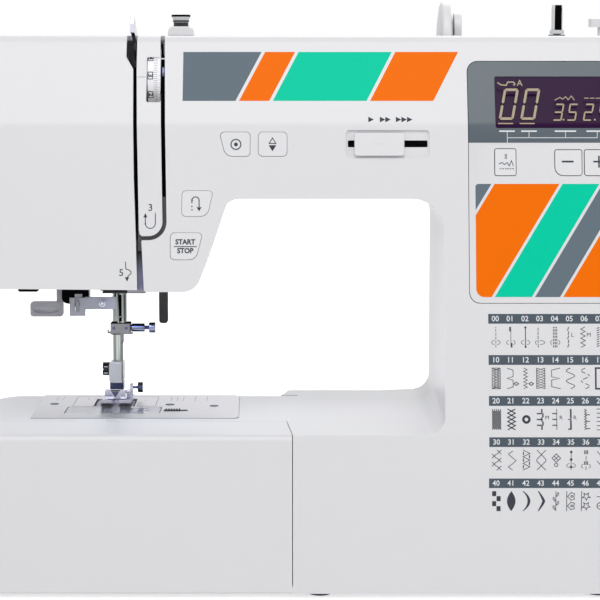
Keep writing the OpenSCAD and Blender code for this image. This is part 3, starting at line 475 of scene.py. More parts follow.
SLIDER_SLOT = box_outline(-5.5, 34.5, 222.4, 225.8, 0.5)
VENT_COUNT, VENT_FIRST, VENT_PITCH, VENT_WIDTH = 9, 70, 10, 5
INLET_HOLE, SWITCH_HOLE = (31.7, 52.3, 19.7, 40.3), (33.7, 50.3, 47.7, 74.3)
SHAFT_PLACE, SHAFT_HOLE = (0, 42, 86), 6.3
SLIDER_WELL = box_outline(-6.5, 35.5, 217.2, 231, 2)
PANEL = box_outline(55, 152, 146, 265, 5.2)


def front_y(z):
    """Depth of the sloping front at a height, in millimetres."""
    if z <= RIM_Z:
        return FRONT + (z - BASE_Z) / (RIM_Z - BASE_Z) * (RIM_Y - FRONT)
    if z <= CREASE_Z:
        return RIM_Y + (z - RIM_Z) / (CREASE_Z - RIM_Z) * (CREASE_Y - RIM_Y)
    return CREASE_Y + (z - CREASE_Z) * BROW_RUN / BROW_RISE


def outline_distance(x, z, outline):
    best = 1e9
    place = Vector((x, z))
    for i, b in enumerate(outline):
        a, b = Vector(outline[i - 1]), Vector(b)
        along = (b - a)
        share = max(0, min(1, (place - a).dot(along) / max(along.length_squared, 1e-12)))
        best = min(best, (a + along * share - place).length)
    return best


def casing_body(name, depth, low):
    """The closed outer form of the machine, moved inwards by a depth, with its ends rounded."""
    body = slab(name, rounded(inset(SIDE_VIEW, depth), 10), "yz", LEFT_X + depth, RIGHT_X - depth)
    radius = sizes().end_round / MM - depth

    def end_edges(a, b, angle):
        at_end = abs(a.x - b.x) < 0.01 and min(abs(a.x - LEFT_X - depth), abs(a.x - RIGHT_X + depth)) < 0.01
        low = max(a.z, b.z) < BASE_Z + depth + 0.1
        return (1.0 if a.x < 0 else 0.8) if at_end and angle > 1 and not low else 0.0

    mark_edges(body, end_edges)
    rounded_off(body, radius * MM, 8)
    tidy_mesh(body)
    throat = slab("throat", rounded(inset(throat_outline(low), depth), 10), "xz", FRONT - 20, REAR + 20)
    return combine(body, throat, "INTERSECT")


def round_throat(body, low):
    """Softens the front and rear edges round the throat, most on the pillar."""
    outline = rounded(throat_outline(low), 10)
    small = sizes().edge_round / sizes().pillar_round

    def weight(a, b, angle):
        if angle < 0.9 or abs(a.y - b.y) > 12 or min(a.z, b.z) < BASE_Z + 1:
            return 0.0
        if max(outline_distance(p.x, p.z, outline) for p in (a, b)) > 0.05:
            return 0.0
        middle = (a + b) / 2
        if middle.x < TABLE_X + 0.5 and middle.z < BED_Z + 1 and middle.z > BASE_Z + 2 and abs(a.x - b.x) < 0.01:
            return 0.0
        if middle.y > 0 and middle.z < BED_Z + 1 and middle.x < 34:
            return 0.75
        if middle.y > 0 or middle.x < 30:
            return small
        rise = min(1, max(0, (middle.z - BED_Z) / BED_CORNER))
        fall = min(1, max(0, (ARM_Z - middle.z) / ARM_CORNER))
        return small + (1 - small) * min(rise, fall)

    mark_edges(body, weight)
    rounded_off(body, sizes().pillar_round, 5)
    return tidy_mesh(body)


def on_front(outline, name, low=FRONT - 6, high=0.0):
    return slab(name, outline, "xz", low, high)


def front_shell(depth0, depth1, name):
    """A layer of the sloping front between two depths."""
    layer = slab(name, rounded(inset(SIDE_VIEW, depth0), 10), "yz", LEFT_X, RIGHT_X)
    return combine(layer, slab("core", rounded(inset(SIDE_VIEW, depth1), 10), "yz", LEFT_X - 1, RIGHT_X + 1),
                   "DIFFERENCE")


def pocket(outline, depth, name="pocket"):
    """A cutter that goes a depth into the sloping front."""
    return combine(on_front(outline, name), front_shell(-3, depth, "layer"), "INTERSECT")


def grown(outline, distance, steps=8):
    return rounded(inset(outline, -distance), steps)


class SEWING_OT_covers(bpy.types.Operator):
    """Front, face and rear covers, cut from one rounded shell"""
    bl_idname = "sewing.covers"
    bl_label = "Casing Covers"

    def execute(self, context):
        front, face = self.shell(LOBE_Z), self.shell(HEAD_Z)
        rear = copied(face, "rear_cover_moulded")
        front.name = front.data.name = "front_cover_moulded"
        face.name = face.data.name = "face_cover_moulded"
        combine(front, on_front(FRONT_ZONE, "zone", FRONT - 2, SPLIT_Y - SEAM), "INTERSECT")
        combine(face, on_front(FACE_ZONE, "zone", FRONT - 2, SPLIT_Y - SEAM), "INTERSECT")
        combine(rear, block("zone", LEFT_X - 1, RIGHT_X + 1, SPLIT_Y, REAR + 1, BASE_Z - 0.5, TOP_Z + 1), "INTERSECT")
        self.shape_front(front)
        cut(face, on_front(TAKE_UP_GAP, "gap", FRONT, 9), self.head_gap())
        self.shape_rear(rear)
        for piece, node in ((front, "front_cover"), (face, "face_cover"), (rear, "rear_cover")):
            if piece is not face:
                cut(piece, block("gap", TABLE_X - 4, TABLE_X + 2.2, -44.6, 38.1, 32.6, BED_Z + 1))
            rounded_off(piece, sizes().seam_round, 2, 50)
            smooth(piece)
            finish_piece(piece, "machine", "casing_white", finishes()["casing"], node)
            self.darken_slots(piece)
        return {"FINISHED"}

    def shell(self, low):
        shell = casing_body("casing", 0, low)
        round_throat(shell, low)
        return cut(shell, casing_body("inside", sizes().wall / MM, low))

    def darken_slots(self, piece):
        """Painted shade: unlit black on the casing's inner walls behind the threading slots."""
        piece.data.materials.append(finishes()["unlit"])
        for face in piece.data.polygons:
            x, y, z = face.center / MM
            in_painted_shade = SLOTS_LEFT < x < SLOTS_RIGHT and SLOTS_LOW < z < SLOTS_HIGH
            if in_painted_shade and front_y(z) + SLOT_EDGE < y < 20:
                face.material_index = 1

    def shape_front(self, front):
        for outline in (START_STOP, REVERSE, LOCK_STITCH, NEEDLE_POS):
            cut(front, on_front(grown(outline, 0.16), "hole"))
        cut(front, on_front(grown(PANEL, 0.3), "hole"), on_front(rounded(SLIDER_SLOT), "hole"),
            pocket(rounded(SLIDER_WELL), 1.2), pocket(THREAD_SLOT, 3.5),
            pocket(rounded(box_outline(-107, -99.7, 244.7, 267.3, 1)), 3.5))
        combine(front, slab("side", [(TABLE_X + 0.5, FRONT + 4), (TABLE_X, FRONT + 4), (TABLE_X - TABLE_SLANT, -45.5),
                                     (TABLE_X - TABLE_SLANT, -44.0), (TABLE_X + 0.5, -44.0)], "xy", BASE_Z + 2, BED_Z),
                                     "UNION")
        self.open_common(front)

    def shape_rear(self, rear):
        radius = sizes().bed_round / MM
        edge = [(REAR + 1, BED_Z + 1), (REAR - radius, BED_Z + 1)] + arc(REAR - radius, BED_Z - radius, radius, 90, -90,
                                                                         8) + [(REAR + 1, BED_Z - radius)]
        combine(rear, slab("fillet", [(TABLE_X + 0.5, 38.2), (TABLE_X - 7, 38.2), (TABLE_X - 5.2, 44),
                                      (TABLE_X - 4, 50),
                                      (TABLE_X - 3.4, 55), (TABLE_X + 0.5, 56)][::-1], "xy", BASE_Z, BED_Z), "UNION")
        fading = slab("edge", edge, "yz", 16, 34)
        shift_points(fading, lambda place: place.x > 33, (0, 1.3, 1.3))
        cut(rear, slab("edge", edge, "yz", TABLE_X - 8, 16), fading)
        self.open_common(rear)
        near, far = RIGHT_X - 4, RIGHT_X + 1
        cut(rear, block("hole", near, far, *INLET_HOLE), block("hole", near, far, *SWITCH_HOLE),
            rod("hole", "x", SHAFT_PLACE, SHAFT_HOLE, near, far, 0.01))
        for i in range(VENT_COUNT):
            x = VENT_FIRST + i * VENT_PITCH
            vent = rounded(box_outline(x, x + VENT_WIDTH, 30, 60, 2.4))
            cut(rear, slab("hole", vent, "xz", REAR - 4, REAR + 1))

    def head_gap(self):
        return block("gap", -176, -98, -16, 46, HEAD_Z - 3, HEAD_Z + 3.5)

    def open_common(self, piece):
        cut(piece, self.head_gap(), block("gap", -104, 172, -18, 52, TOP_Z - 3.5, TOP_Z + 1),
            block("gap", TABLE_X - 4, TABLE_X + 2.9, -42.5, 38.4, BASE_Z - 1, BASE_Z + 7.5))


# ---- finishes ----------------------------------------------------------------------------------
BLACK, WHITE = (0, 0, 0, 1), (1, 1, 1, 1)
# sockets of the Mix node in its colour mode
MIX_FACTOR, MIX_FIRST, MIX_SECOND, MIX_RESULT = 0, 6, 7, 2
# heights in metres between which the wall of the threading path turns from lit to dark
PATH_DARK, PATH_LIT = 0.171, 0.158


def plug(tree, slot, value):
    """Links a signal to a socket, or sets the socket to a plain value."""
    if isinstance(value, Signal):
        tree.links.new(value.socket, slot)
    else:
        slot.default_value = value


class Signal:
    """A socket that adds Math nodes when Python sums are written with it."""

    def __init__(self, tree, socket):
        self.tree, self.socket = tree, socket

    def _with(self, operation, other, swapped=False):
        node = self.tree.nodes.new("ShaderNodeMath")
        node.operation = operation
        for slot, value in zip(node.inputs, (other, self) if swapped else (self, other)):
            plug(self.tree, slot, value)
        return Signal(self.tree, node.outputs[0])

    def __add__(self, other): return self._with("ADD", other)
    def __radd__(self, other): return self._with("ADD", other, True)
    def __mul__(self, other): return self._with("MULTIPLY", other)
    def __rmul__(self, other): return self._with("MULTIPLY", other, True)
    def most(self, other): return self._with("MAXIMUM", other)


class Nodes:
    """Adds nodes to one tree and sets the sockets of its shader."""

    def __init__(self, tree, shader):
        self.tree = tree
        self.shader = next(n for n in tree.nodes if n.type == shader)

    def set(self, socket, value):
        plug(self.tree, self.shader.inputs[socket], value)

    def node(self, kind, settings=None, inputs=None, out=0):
        """Adds a node: its settings first, then the values or links of its sockets."""
        made = self.tree.nodes.new("ShaderNode" + kind)
        for key, value in (settings or {}).items():
            if key == "stops":
                for i, (place, shade) in enumerate(value):
                    stop = made.color_ramp.elements[i] if i < 2 else made.color_ramp.elements.new(place)
                    stop.position, stop.color = place, shade
            else:
                setattr(made, key, value)
        for key, value in (inputs or {}).items():
            plug(self.tree, made.inputs[key], value)
        return Signal(self.tree, made.outputs[out])

    def ray(self, kind):
        """1 for rays of a kind, such as Camera."""
        return self.node("LightPath", out=f"Is {kind} Ray")


class Finish(Nodes):
    """One material, built node by node."""

    def __init__(self, name, colour, rough=0.4, metal=0.0, **fixed):
        self.material = bpy.data.materials.new(name)
        self.material.use_nodes = True
        super().__init__(self.material.node_tree, "BSDF_PRINCIPLED")
        self.colour = linear(colour)
        for key, value in {"Base Color": self.colour, "Roughness": rough, "Metallic": metal, **fixed}.items():
            self.set(key.replace("_", " "), value)

    def place(self, scale=(1, 1, 1), turn=(0, 0, 0)):
        """Points of the object, stretched and turned."""
        where = self.node("TexCoord", out="Object")
        return self.node("Mapping", {}, {"Vector": where, "Scale": scale, "Rotation": turn})

    def noise(self, scale, detail=2.0, rough=0.5, stretch=(1, 1, 1)):
        return self.node("TexNoise", {}, {"Vector": self.place(stretch), "Scale": scale, "Detail": detail,
                                          "Roughness": rough})

    def blend(self, factor, first, second):
        """A colour between two colours."""
        return self.node("Mix", {"data_type": "RGBA"}, {MIX_FACTOR: factor, MIX_FIRST: first, MIX_SECOND: second},
                         out=MIX_RESULT)

    def shaded(self, factor, share):
        """The material's colour, darkened to a share of itself where the factor is 0."""
        return self.blend(factor, darker(self.colour, share), self.colour)

    def surface(self, colour=None, rough=None, height=None, distance=0.0, strength=1.0):
        """Links the base colour, the roughness and the relief, and gives the material back."""
        if colour is not None:
            self.set("Base Color", colour)
        if rough is not None:
            self.set("Roughness", rough)
        if height is not None:
            self.set("Normal", self.node("Bump", {}, {"Height": height, "Distance": distance, "Strength": strength}))
        return self.material


def linear(shade):
    """A colour as seen on screen, as the shader wants it."""
    return tuple(c / 12.92 if c <= 0.04045 else ((c + 0.055) / 1.055) ** 2.4 for c in shade) + (1.0,)


def darker(shade, share):
    return tuple(c * share for c in shade[:3]) + (1.0,)


def moulded(name, shade, rough=0.38, grain=1500.0, depth=0.00002, mottling=0.012):
    """Moulded plastic: a fine even grain, slight cloudiness, and sheen that varies a little."""
    made = Finish(name, shade, rough)
    cloud, fine = made.noise(14.0, 3.0), made.noise(grain, 1.0)
    return made.surface(made.shaded(cloud, 1 - mottling), rough - 0.04 + cloud * 0.05 + fine * 0.04,
                        fine, depth, 0.5)


def painted(name, shade, rough=0.36):
    """Satin paint with a faint flake."""
    made = Finish(name, shade, rough, Coat_Weight=0.15, Coat_Roughness=0.25)
    flake = made.node("TexVoronoi", {}, {"Vector": made.place(), "Scale": 2600.0}, out="Color")
    glint = made.node("SeparateColor", {}, {"Color": flake})
    return made.surface(made.blend(glint, darker(made.colour, 0.94), darker(made.colour, 1.05)),
                        rough - 0.03 + glint * 0.07, made.noise(900.0), 0.00001, 0.4)


def printed(name, shade, rough=0.42):
    """Screen print: flat ink, slightly uneven, with a fine edge-to-edge mottle."""
    made = Finish(name, shade, rough, Specular_IOR_Level=0.08)
    patch = made.noise(420.0, 2.0)
    return made.surface(made.shaded(patch, 0.97), rough - 0.05 + patch * 0.1, patch, 0.000005, 0.5)


def brushed(name, shade, rough=0.3, stretch=(1, 30, 30), scale=90.0):
    """Metal drawn over abrasive: fine parallel lines along one way."""
    made = Finish(name, shade, rough, 1.0)
    lines, cloud = made.noise(scale, 4.0, 0.6, stretch), made.noise(25.0)
    return made.surface(made.shaded(lines, 0.86), rough - 0.08 + lines * 0.16 + cloud * 0.05, lines, 0.00003, 0.35)


def plated(name, shade, rough=0.12, wear=0.08):
    """Bright plating with faint wipe marks."""
    made = Finish(name, shade, rough, 1.0)
    wipe = made.noise(60.0, 4.0, 0.6, (1, 1, 0.3))
    return made.surface(made.shaded(wipe, 0.93), rough + wipe * wear, made.noise(800.0), 0.000004, 0.4)


def streaked(name, dark, light, rough=0.16, stretch=(1, 1, 0.02), scale=520.0):
    """Polished bar with long dark and light streaks: partly the lines of drawn metal, partly painted reflections."""
    made = Finish(name, light, rough, 1.0)
    lines = made.noise(scale, 2.0, 0.6, stretch)
    sharp = made.node("ValToRGB", {"stops": ((0.4, BLACK), (0.6, WHITE))}, {"Fac": lines})
    return made.surface(made.blend(sharp, linear(dark), made.colour), rough + lines * 0.12, lines, 0.00001, 0.3)


def unlit(name):
    """Black of a space that no light reaches."""
    made = Finish(name, (0.02, 0.02, 0.024), 0.9, Specular_IOR_Level=0.05)
    return made.surface(rough=0.85 + made.noise(90.0) * 0.1)


def lit_path(name):
    """Wall of the threading path: black in the slot, pale where the lamp reaches it below."""
    made = Finish(name, (0.6, 0.6, 0.74), 0.5)
    height = made.node("SeparateXYZ", {}, {"Vector": made.node("TexCoord", out="Object")}, out="Z")
    lit = made.node("MapRange", {"interpolation_type": "SMOOTHSTEP"},
                    {"Value": height, "From Min": PATH_DARK, "From Max": PATH_LIT})
    grain = made.noise(300.0)
    return made.surface(made.blend(lit, (0.004, 0.004, 0.005, 1), made.colour), 0.45 + grain * 0.1,
                        grain, 0.00002, 0.3)


def cast_metal(name, shade, rough=0.5):
    made = Finish(name, shade, rough, 0.9)
    lumps = made.noise(380.0, 4.0, 0.6)
    return made.surface(made.shaded(lumps, 0.8), rough - 0.1 + lumps * 0.2, lumps, 0.00008, 0.6)


def soft_rubber(name, shade):
    made = Finish(name, shade, 0.75)
    dust = made.noise(200.0, 4.0)
    return made.surface(made.blend(dust, made.colour, darker(made.colour, 1.5)), 0.68 + dust * 0.16,
                        dust, 0.00005, 0.5)


def clear(name, shade, alpha=0.35, rough=0.06):
    """Clear moulded plastic, with faint flow lines and wiping marks."""
    made = Finish(name, shade, rough, Coat_Weight=0.4, Coat_Roughness=0.05)
    flow = made.noise(45.0, 3.0, 0.5, (0.4, 1, 1))
    made.set("Alpha", alpha + flow * 0.08)
    made.material.surface_render_method = "BLENDED"
    return made.surface(None, rough + flow * 0.06, flow, 0.00002, 0.3)


def glowing(name, shade, strength=2.0):
    made = Finish(name, shade, 0.4, Emission_Strength=strength)
    made.set("Emission Color", made.shaded(made.noise(300.0), 0.85))
    return made.material


def display_glass(name, shade):
    """Dark liquid-crystal glass: an even tint with a faint grid of cells under it."""
    made = Finish(name, shade, 0.2, Specular_IOR_Level=0.1)
    cells = made.node("TexVoronoi", {"distance": "CHEBYCHEV"},
                      {"Vector": made.place(), "Scale": 900.0, "Randomness": 0.0})
    haze = made.noise(30.0)
    return made.surface(made.blend(cells, made.colour, darker(made.colour, 1.25)), 0.16 + haze * 0.1,
                        haze, 0.00001, 0.2)


def board_finish(name):
    """Green board with a pattern of tracks."""
    made = Finish(name, (0.05, 0.28, 0.14), 0.35, Coat_Weight=0.4)
    shades = {"Color1": (0.05, 0.28, 0.14), "Color2": (0.07, 0.36, 0.18), "Mortar": (0.12, 0.42, 0.22)}
    tracks = made.node("TexBrick", {"offset": 0.3}, {"Vector": made.place(turn=(math.pi / 2, 0, 0)), "Scale": 160.0,
                                                     **{key: linear(shade) for key, shade in shades.items()}})
    return made.surface(tracks, None, made.noise(500.0), 0.00002)


_finishes = {}


def finishes():
    """Every material by name, made once."""
    if not _finishes:
        c = colours()
        _finishes.update(
            casing=moulded("casing_white", c.casing, 0.36),
            bed=moulded("bed_white", c.casing, 0.33),
            button=moulded("button_white", tuple(v * 1.012 for v in c.casing), 0.3),
            panel=painted("panel_grey", c.panel),
            ink=printed("ink_grey", c.ink),
            pale_line=printed("ink_line", (0.7, 0.7, 0.72)),
            pale_ink=printed("ink_pale", (0.93, 0.94, 0.95)),
            orange=printed("ink_orange", c.orange),
            teal=printed("ink_teal", c.teal),
            slate=printed("ink_slate", c.slate),
            chart=printed("ink_chart", c.chart),
            display=display_glass("display_glass", c.display),
            digits=glowing("display_digits", c.digits, 0.0),
            plate=brushed("plate_steel", (0.76, 0.76, 0.78), 0.34),
            steel=brushed("bar_steel", (0.66, 0.66, 0.68), 0.24, (1, 1, 0.05), 900.0),
            bar=streaked("needle_bar_chrome", (0.42, 0.44, 0.43), (0.72, 0.74, 0.72)),
            screw=streaked("screw_chrome", (0.16, 0.18, 0.32), (0.74, 0.76, 0.86), 0.14, (0.02, 1, 1), 600.0),
            chrome=plated("bright_chrome", (0.78, 0.78, 0.83)),
            nickel=plated("nickel", (0.5, 0.5, 0.515), 0.24, 0.14),
            # painted light: a pale diffuse grey that stands for the lit look of steel and chrome parts, and for
            # highlights on a dark screw
            pale_metal=moulded("pale_metal", (0.86, 0.87, 0.88), 0.3),
            dark_steel=plated("dark_steel", (0.34, 0.36, 0.48), 0.2, 0.1),
            plate_ink=printed("plate_ink", (0.42, 0.43, 0.48)),
            path=lit_path("threading_path"),
            unlit=unlit("unlit_black"),
            shade=moulded("shadow_grey", (0.35, 0.345, 0.35), 0.5),
            threader=moulded("threader_grey", (0.67, 0.665, 0.69), 0.35),
            # painted light: the chrome foot holder as a pale grey, as bright as the head lamp shows it
            holder=moulded("holder_grey", (0.91, 0.91, 0.915), 0.34),
            black=moulded("black_plastic", (0.035, 0.035, 0.038), 0.42, 1200.0, 0.00003, 0.2),
            dark=moulded("dark_grey_plastic", (0.17, 0.175, 0.185), 0.45, 1200.0, 0.00003, 0.1),
            light_grey=moulded("light_grey_plastic", (0.78, 0.79, 0.8), 0.35),
            rubber=soft_rubber("foot_rubber", (0.09, 0.09, 0.09)),
            frame_metal=cast_metal("cast_frame", (0.62, 0.63, 0.64)),
            motor=cast_metal("motor_case", (0.25, 0.26, 0.28), 0.4),
            board=board_finish("circuit_board"),
            clear=clear("clear_cover", (0.79, 0.79, 0.82), 0.72),
            smoky=clear("bobbin_clear", (0.8, 0.86, 0.92), 0.3),
            lamp=glowing("lamp_glow", (0.78, 0.86, 1.0), 30.0),
            # the tension dial is given a faint glow: painted light, as it is no lamp
            dial=glowing("dial_white", (0.85, 0.85, 0.86), 0.42),
        )
    return _finishes


# ---- what stays as the frame made it --------------------------------------------------------------
CARRIED = {
    "frame_metal": ["machine_frame"],
    "motor": ["drive_motor", "winder_arm"],
    "board": ["circuit_boards"],
    "black": ["drive_belts", "bobbin_holder"],
    # the chrome tension discs are given dark steel: painted shade for where they sit behind the slot
    "dark_steel": ["tension_unit"],
    "steel": ["upper_shaft", "motor_pulley", "lower_shaft", "connecting_rod", "presser_spring", "feed_bar"],
    "nickel": ["needle"],
}


class SEWING_OT_inner_works(bpy.types.Operator):
    """Finishes of the frame, shafts, motor and boards, whose shape stays as built"""
    bl_idname = "sewing.inner_works"
    bl_label = "Inner Works"

    def execute(self, context):
        for finish, nodes in CARRIED.items():
            for node in nodes:
                mesh = frame["nodes"][node].data
                mesh.materials.clear()
                mesh.materials.append(finishes()[finish])
        return {"FINISHED"}


# ---- mouldings taken from the frame with their edges softened --------------------------------------
# node: (edge radius in mm, steps, body, slot, finish)
MOULDINGS = {
    "extension_table": (0.9, 3, "extension_table", "casing_white", "bed"),
    "carrying_handle": (1.2, 3, "carrying_handle", "casing_white", "casing"),
    "display_window": (0.2, 2, "machine", "display", "display"),
    "handwheel": (0.5, 2, "main_shaft", "casing_white", "casing"),
    "hook_cover_plate": (0.25, 2, "hook_cover", "clear_plastic", "clear"),
    "hook_cover_latch": (0.12, 1, "hook_cover_latch", "black_plastic", "dark"),
    "start_stop_button": (0.45, 3, "start_stop_button", "casing_white", "button"),
    "reverse_button": (0.45, 3, "reverse_button", "casing_white", "button"),
    "lock_stitch_button": (0.45, 3, "lock_stitch_button", "casing_white", "button"),
    "needle_position_button": (0.45, 3, "needle_position_button", "casing_white", "button"),
    "mode_key": (0.3, 2, "mode_key", "casing_white", "button"),
    "minus_key": (0.3, 2, "minus_key", "casing_white", "button"),
    "plus_key": (0.3, 2, "plus_key", "casing_white", "button"),
    "speed_slider": (0.5, 3, "speed_slider", "casing_white", "button"),
    "tension_dial": (0.2, 2, "tension_dial", "casing_white", "dial"),
    "spool_pin": (0.6, 3, "machine", "casing_white", "casing"),
    "spool_cap": (0.3, 2, "spool_cap", "casing_white", "casing"),
    "head_lamp": (0.25, 2, "machine", "black_plastic", "black"),
    "needle_bar": (0.2, 2, "needle_bar", "chrome", "bar"),
    "needle_clamp_screw": (0.15, 2, "needle_clamp_screw", "chrome", "screw"),
    "presser_bar": (0.2, 2, "presser", "chrome", "bar"),
    "presser_lifter": (0.4, 2, "presser_lifter", "black_plastic", "black"),
    "take_up_lever": (0.3, 2, "take_up_lever", "chrome", "chrome"),
    # the feed dog is painted light, so that it reads as lit in the shade under the foot
    "feed_dog": (0.08, 1, "feed_dog", "steel", "pale_metal"),
    "power_inlet": (0.4, 2, "machine", "black_plastic", "black"),
    "power_switch": (0.3, 2, "power_switch", "black_plastic", "dark"),
    "drop_feed_lever": (0.15, 1, "drop_feed_lever", "black_plastic", "black"),
    "rubber_feet": (0.5, 2, "machine", "rubber", "rubber"),
    "bobbin": (0.15, 1, "bobbin", "clear_plastic", "smoky"),
    "rotary_hook": (0.15, 1, "rotary_hook", "steel", "chrome"),
    "cover_screws": (0.2, 2, "machine", "steel", "nickel"),
    "base_plate": (0.5, 2, "machine", "base_grey", "casing"),
}


# points in metres and normals of the planes that divide the top cover at its openings
TRAY_PLANES = (((0.015, 0, 0), (1, 0, 0)), ((0.121, 0, 0), (1, 0, 0)), ((0, 0.02, 0), (0, 1, 0)))


class SEWING_OT_mouldings(bpy.types.Operator):
    """Table, free arm, handle and smaller parts with rounded edges"""
    bl_idname = "sewing.mouldings"
    bl_label = "Mouldings"

    def execute(self, context):
        moulding("free_arm_cover", 0.8, 3, "machine", "casing_white", "bed",
                 keep_sharp=lambda a, b: min(a.x, b.x) > TABLE_X + 2)
        moulding("top_cover", 0.5, 2, "machine", "casing_white", "casing", shape=self.split)
        for node, row in MOULDINGS.items():
            moulding(node, *row)
        return {"FINISHED"}

    def split(self, piece):
        """Divides the flat faces round the openings, so that none of them has a hole."""
        with editing(piece):
            for place, normal in TRAY_PLANES:
                bpy.ops.mesh.select_all(action="SELECT")
                bpy.ops.mesh.bisect(plane_co=place, plane_no=normal)


# ---- printed marks -----------------------------------------------------------------------------
PLANE_POINTS = {"base": ((FRONT, BASE_Z), (RIM_Y, RIM_Z)), "column": ((RIM_Y, RIM_Z), (CREASE_Y, CREASE_Z)),
                "brow": ((CREASE_Y, CREASE_Z), (CREASE_Y + BROW_RUN, CREASE_Z + BROW_RISE))}
PLATE_TOP = BED_Z + 0.4
# height of each ink over its surface in millimetres, for inks that differ from the common one
COMMON_HEIGHT = 0.03
INK_HEIGHT = {"pale_line": 0.02, "ink": 0.05, "pale_ink": 0.06}
CAPITAL_SHARE = 0.72  # height of a capital as a share of the letters' size


def stroke_outline(points, width):
    """The outline of a line of one width, with its corners mitred."""
    left, right = [], []
    for i, p in enumerate(points):
        p = Vector(p)
        before = (p - Vector(points[i - 1])).normalized() if i else None
        after = (Vector(points[i + 1]) - p).normalized() if i + 1 < len(points) else None
        along = before or after
        if before and after:
            along = (before + after).normalized() if (before + after).length > 0.2 else before
        side = Vector((-along.y, along.x)) * width / 2
        if before and after:
            side /= max(0.45, abs(side.normalized().dot(Vector((-before.y, before.x)))))
        left.append(tuple(p + side))
        right.append(tuple(p - side))
    return left + right[::-1]


class Marks:
    """Marks drawn flat in millimetres, then laid on one sloping plane of the front, or level on the bed."""

    def __init__(self, plane, shift=0.0):
        if plane == "bed":
            self.y0, self.z0, self.start, self.stretch, self.turn = 0, PLATE_TOP, 0, 1, 0
        else:
            (self.y0, self.z0), (y1, z1) = PLANE_POINTS[plane] if isinstance(plane, str) else plane
            self.start = self.z0
            self.stretch = math.hypot(y1 - self.y0, z1 - self.z0) / (z1 - self.z0)
            self.turn = math.atan2(z1 - self.z0, y1 - self.y0)
        self.shift = shift
        self.pieces = {}

    def flat(self, p):
        return p[0] * MM, (p[1] - self.start) * self.stretch * MM

    def add(self, ink, made):
        bpy.context.scene.collection.objects.link(made)
        self.pieces.setdefault(ink, []).append(made)

    def shape(self, ink, *loops):
        """A filled outline; later loops are its holes."""
        curve = bpy.data.curves.new("mark", "CURVE")
        curve.dimensions = "2D"
        curve.fill_mode = "BOTH"
        curve.extrude = sizes().print_thickness / 2
        for loop in loops:
            spline = curve.splines.new("POLY")
            spline.points.add(len(loop) - 1)
            for point, p in zip(spline.points, loop):
                point.co = (*self.flat(p), 0.0, 1.0)
            spline.use_cyclic_u = True
        self.add(ink, bpy.data.objects.new("mark", curve))

    def line(self, ink, points, width=0.32):
        self.shape(ink, stroke_outline(points, width))

    def dashes(self, ink, start, end, dash, gap, width=0.32):
        start, end = Vector(start), Vector(end)
        length, at = (end - start).length, 0.0
        while at < length - 0.05:
            stop = min(at + dash, length)
            self.line(ink, [start.lerp(end, at / length), start.lerp(end, stop / length)], width)
            at += dash + gap

    def loop(self, ink, points, width=0.32):
        """A closed line: its outline and the hole in it."""
        corners = [(p[0], p[1], 0.3) for p in points]
        area = sum(a[0] * b[1] - b[0] * a[1] for a, b in zip(points, points[1:] + points[:1]))
        if area < 0:
            corners.reverse()
        self.shape(ink, [p[:2] for p in inset(corners, -width / 2)], [p[:2] for p in inset(corners, width / 2)])

    def disc(self, ink, x, z, r, hole=0.0):
        self.shape(ink, ring(x, z, r), *([ring(x, z, hole)] if hole else []))

    def words(self, ink, text, x, z, height, bold=0.0, turn=0.0, wide=1.0):
        """Letters centred on a point; height is that of a capital."""
        curve = bpy.data.curves.new("letters", "FONT")
        curve.body = text
        curve.size = height / CAPITAL_SHARE * MM * self.stretch
        curve.align_x, curve.align_y = "CENTER", "CENTER"
        curve.extrude = sizes().print_thickness / 2
        curve.offset = bold * MM
        curve.resolution_u = 3
        made = bpy.data.objects.new("letters", curve)
        made.location = (*self.flat((x, z)), 0.0)
        made.rotation_euler.z = math.radians(turn)
        made.scale.x = wide
        self.add(ink, made)

    def lay(self, name, body="machine", slot="casing_white"):
        """Turns the marks into one mesh for each ink, on the casing."""
        for ink, pieces in self.pieces.items():
            pick(*pieces)
            bpy.ops.object.convert(target="MESH")
            piece = joined(f"{name}_{ink}" if len(self.pieces) > 1 else name, list(bpy.context.selected_objects))
            settle(piece)
            tidy_mesh(piece, 1e-7)
            out = INK_HEIGHT.get(ink, COMMON_HEIGHT) * MM - sizes().print_thickness / 2 + self.shift * MM
            piece.rotation_euler.x = self.turn
            piece.location = (0, self.y0 * MM - math.sin(self.turn) * out, self.z0 * MM + math.cos(self.turn) * out)
            settle(piece)
            face_outwards(piece)
            finish_piece(piece, body, slot, finishes()[ink])


def zigzag(x, z0, z1, half, turns, start=-1):
    return [(x + start * half * (-1) ** i, z0 + (z1 - z0) * i / turns) for i in range(turns + 1)]


def wave(x, z0, z1, half, turns, steps=10):
    count = turns * steps
    return [(x + half * math.sin(math.tau * turns * i / count), z0 + (z1 - z0) * i / count) for i in range(count + 1)]


# ---- stitch chart ------------------------------------------------------------------------------
CHART_TOPS = (140.7, 120.7, 100.9, 81.0, 60.5)
CHART_LEFT, CHART_FIRST, CHART_PITCH, BAND_HEIGHT, CHART_RIGHT = 64.0, 67.5, 7.36, 4.75, 137.5
SYMBOL_DROP, SYMBOL_HEIGHT = 16.3, 10
RIM_ROW = 3  # the row whose band lies over the crease between base and column
FOOT_HEIGHT, DIAMOND_SIZE = 0.95, 1.15


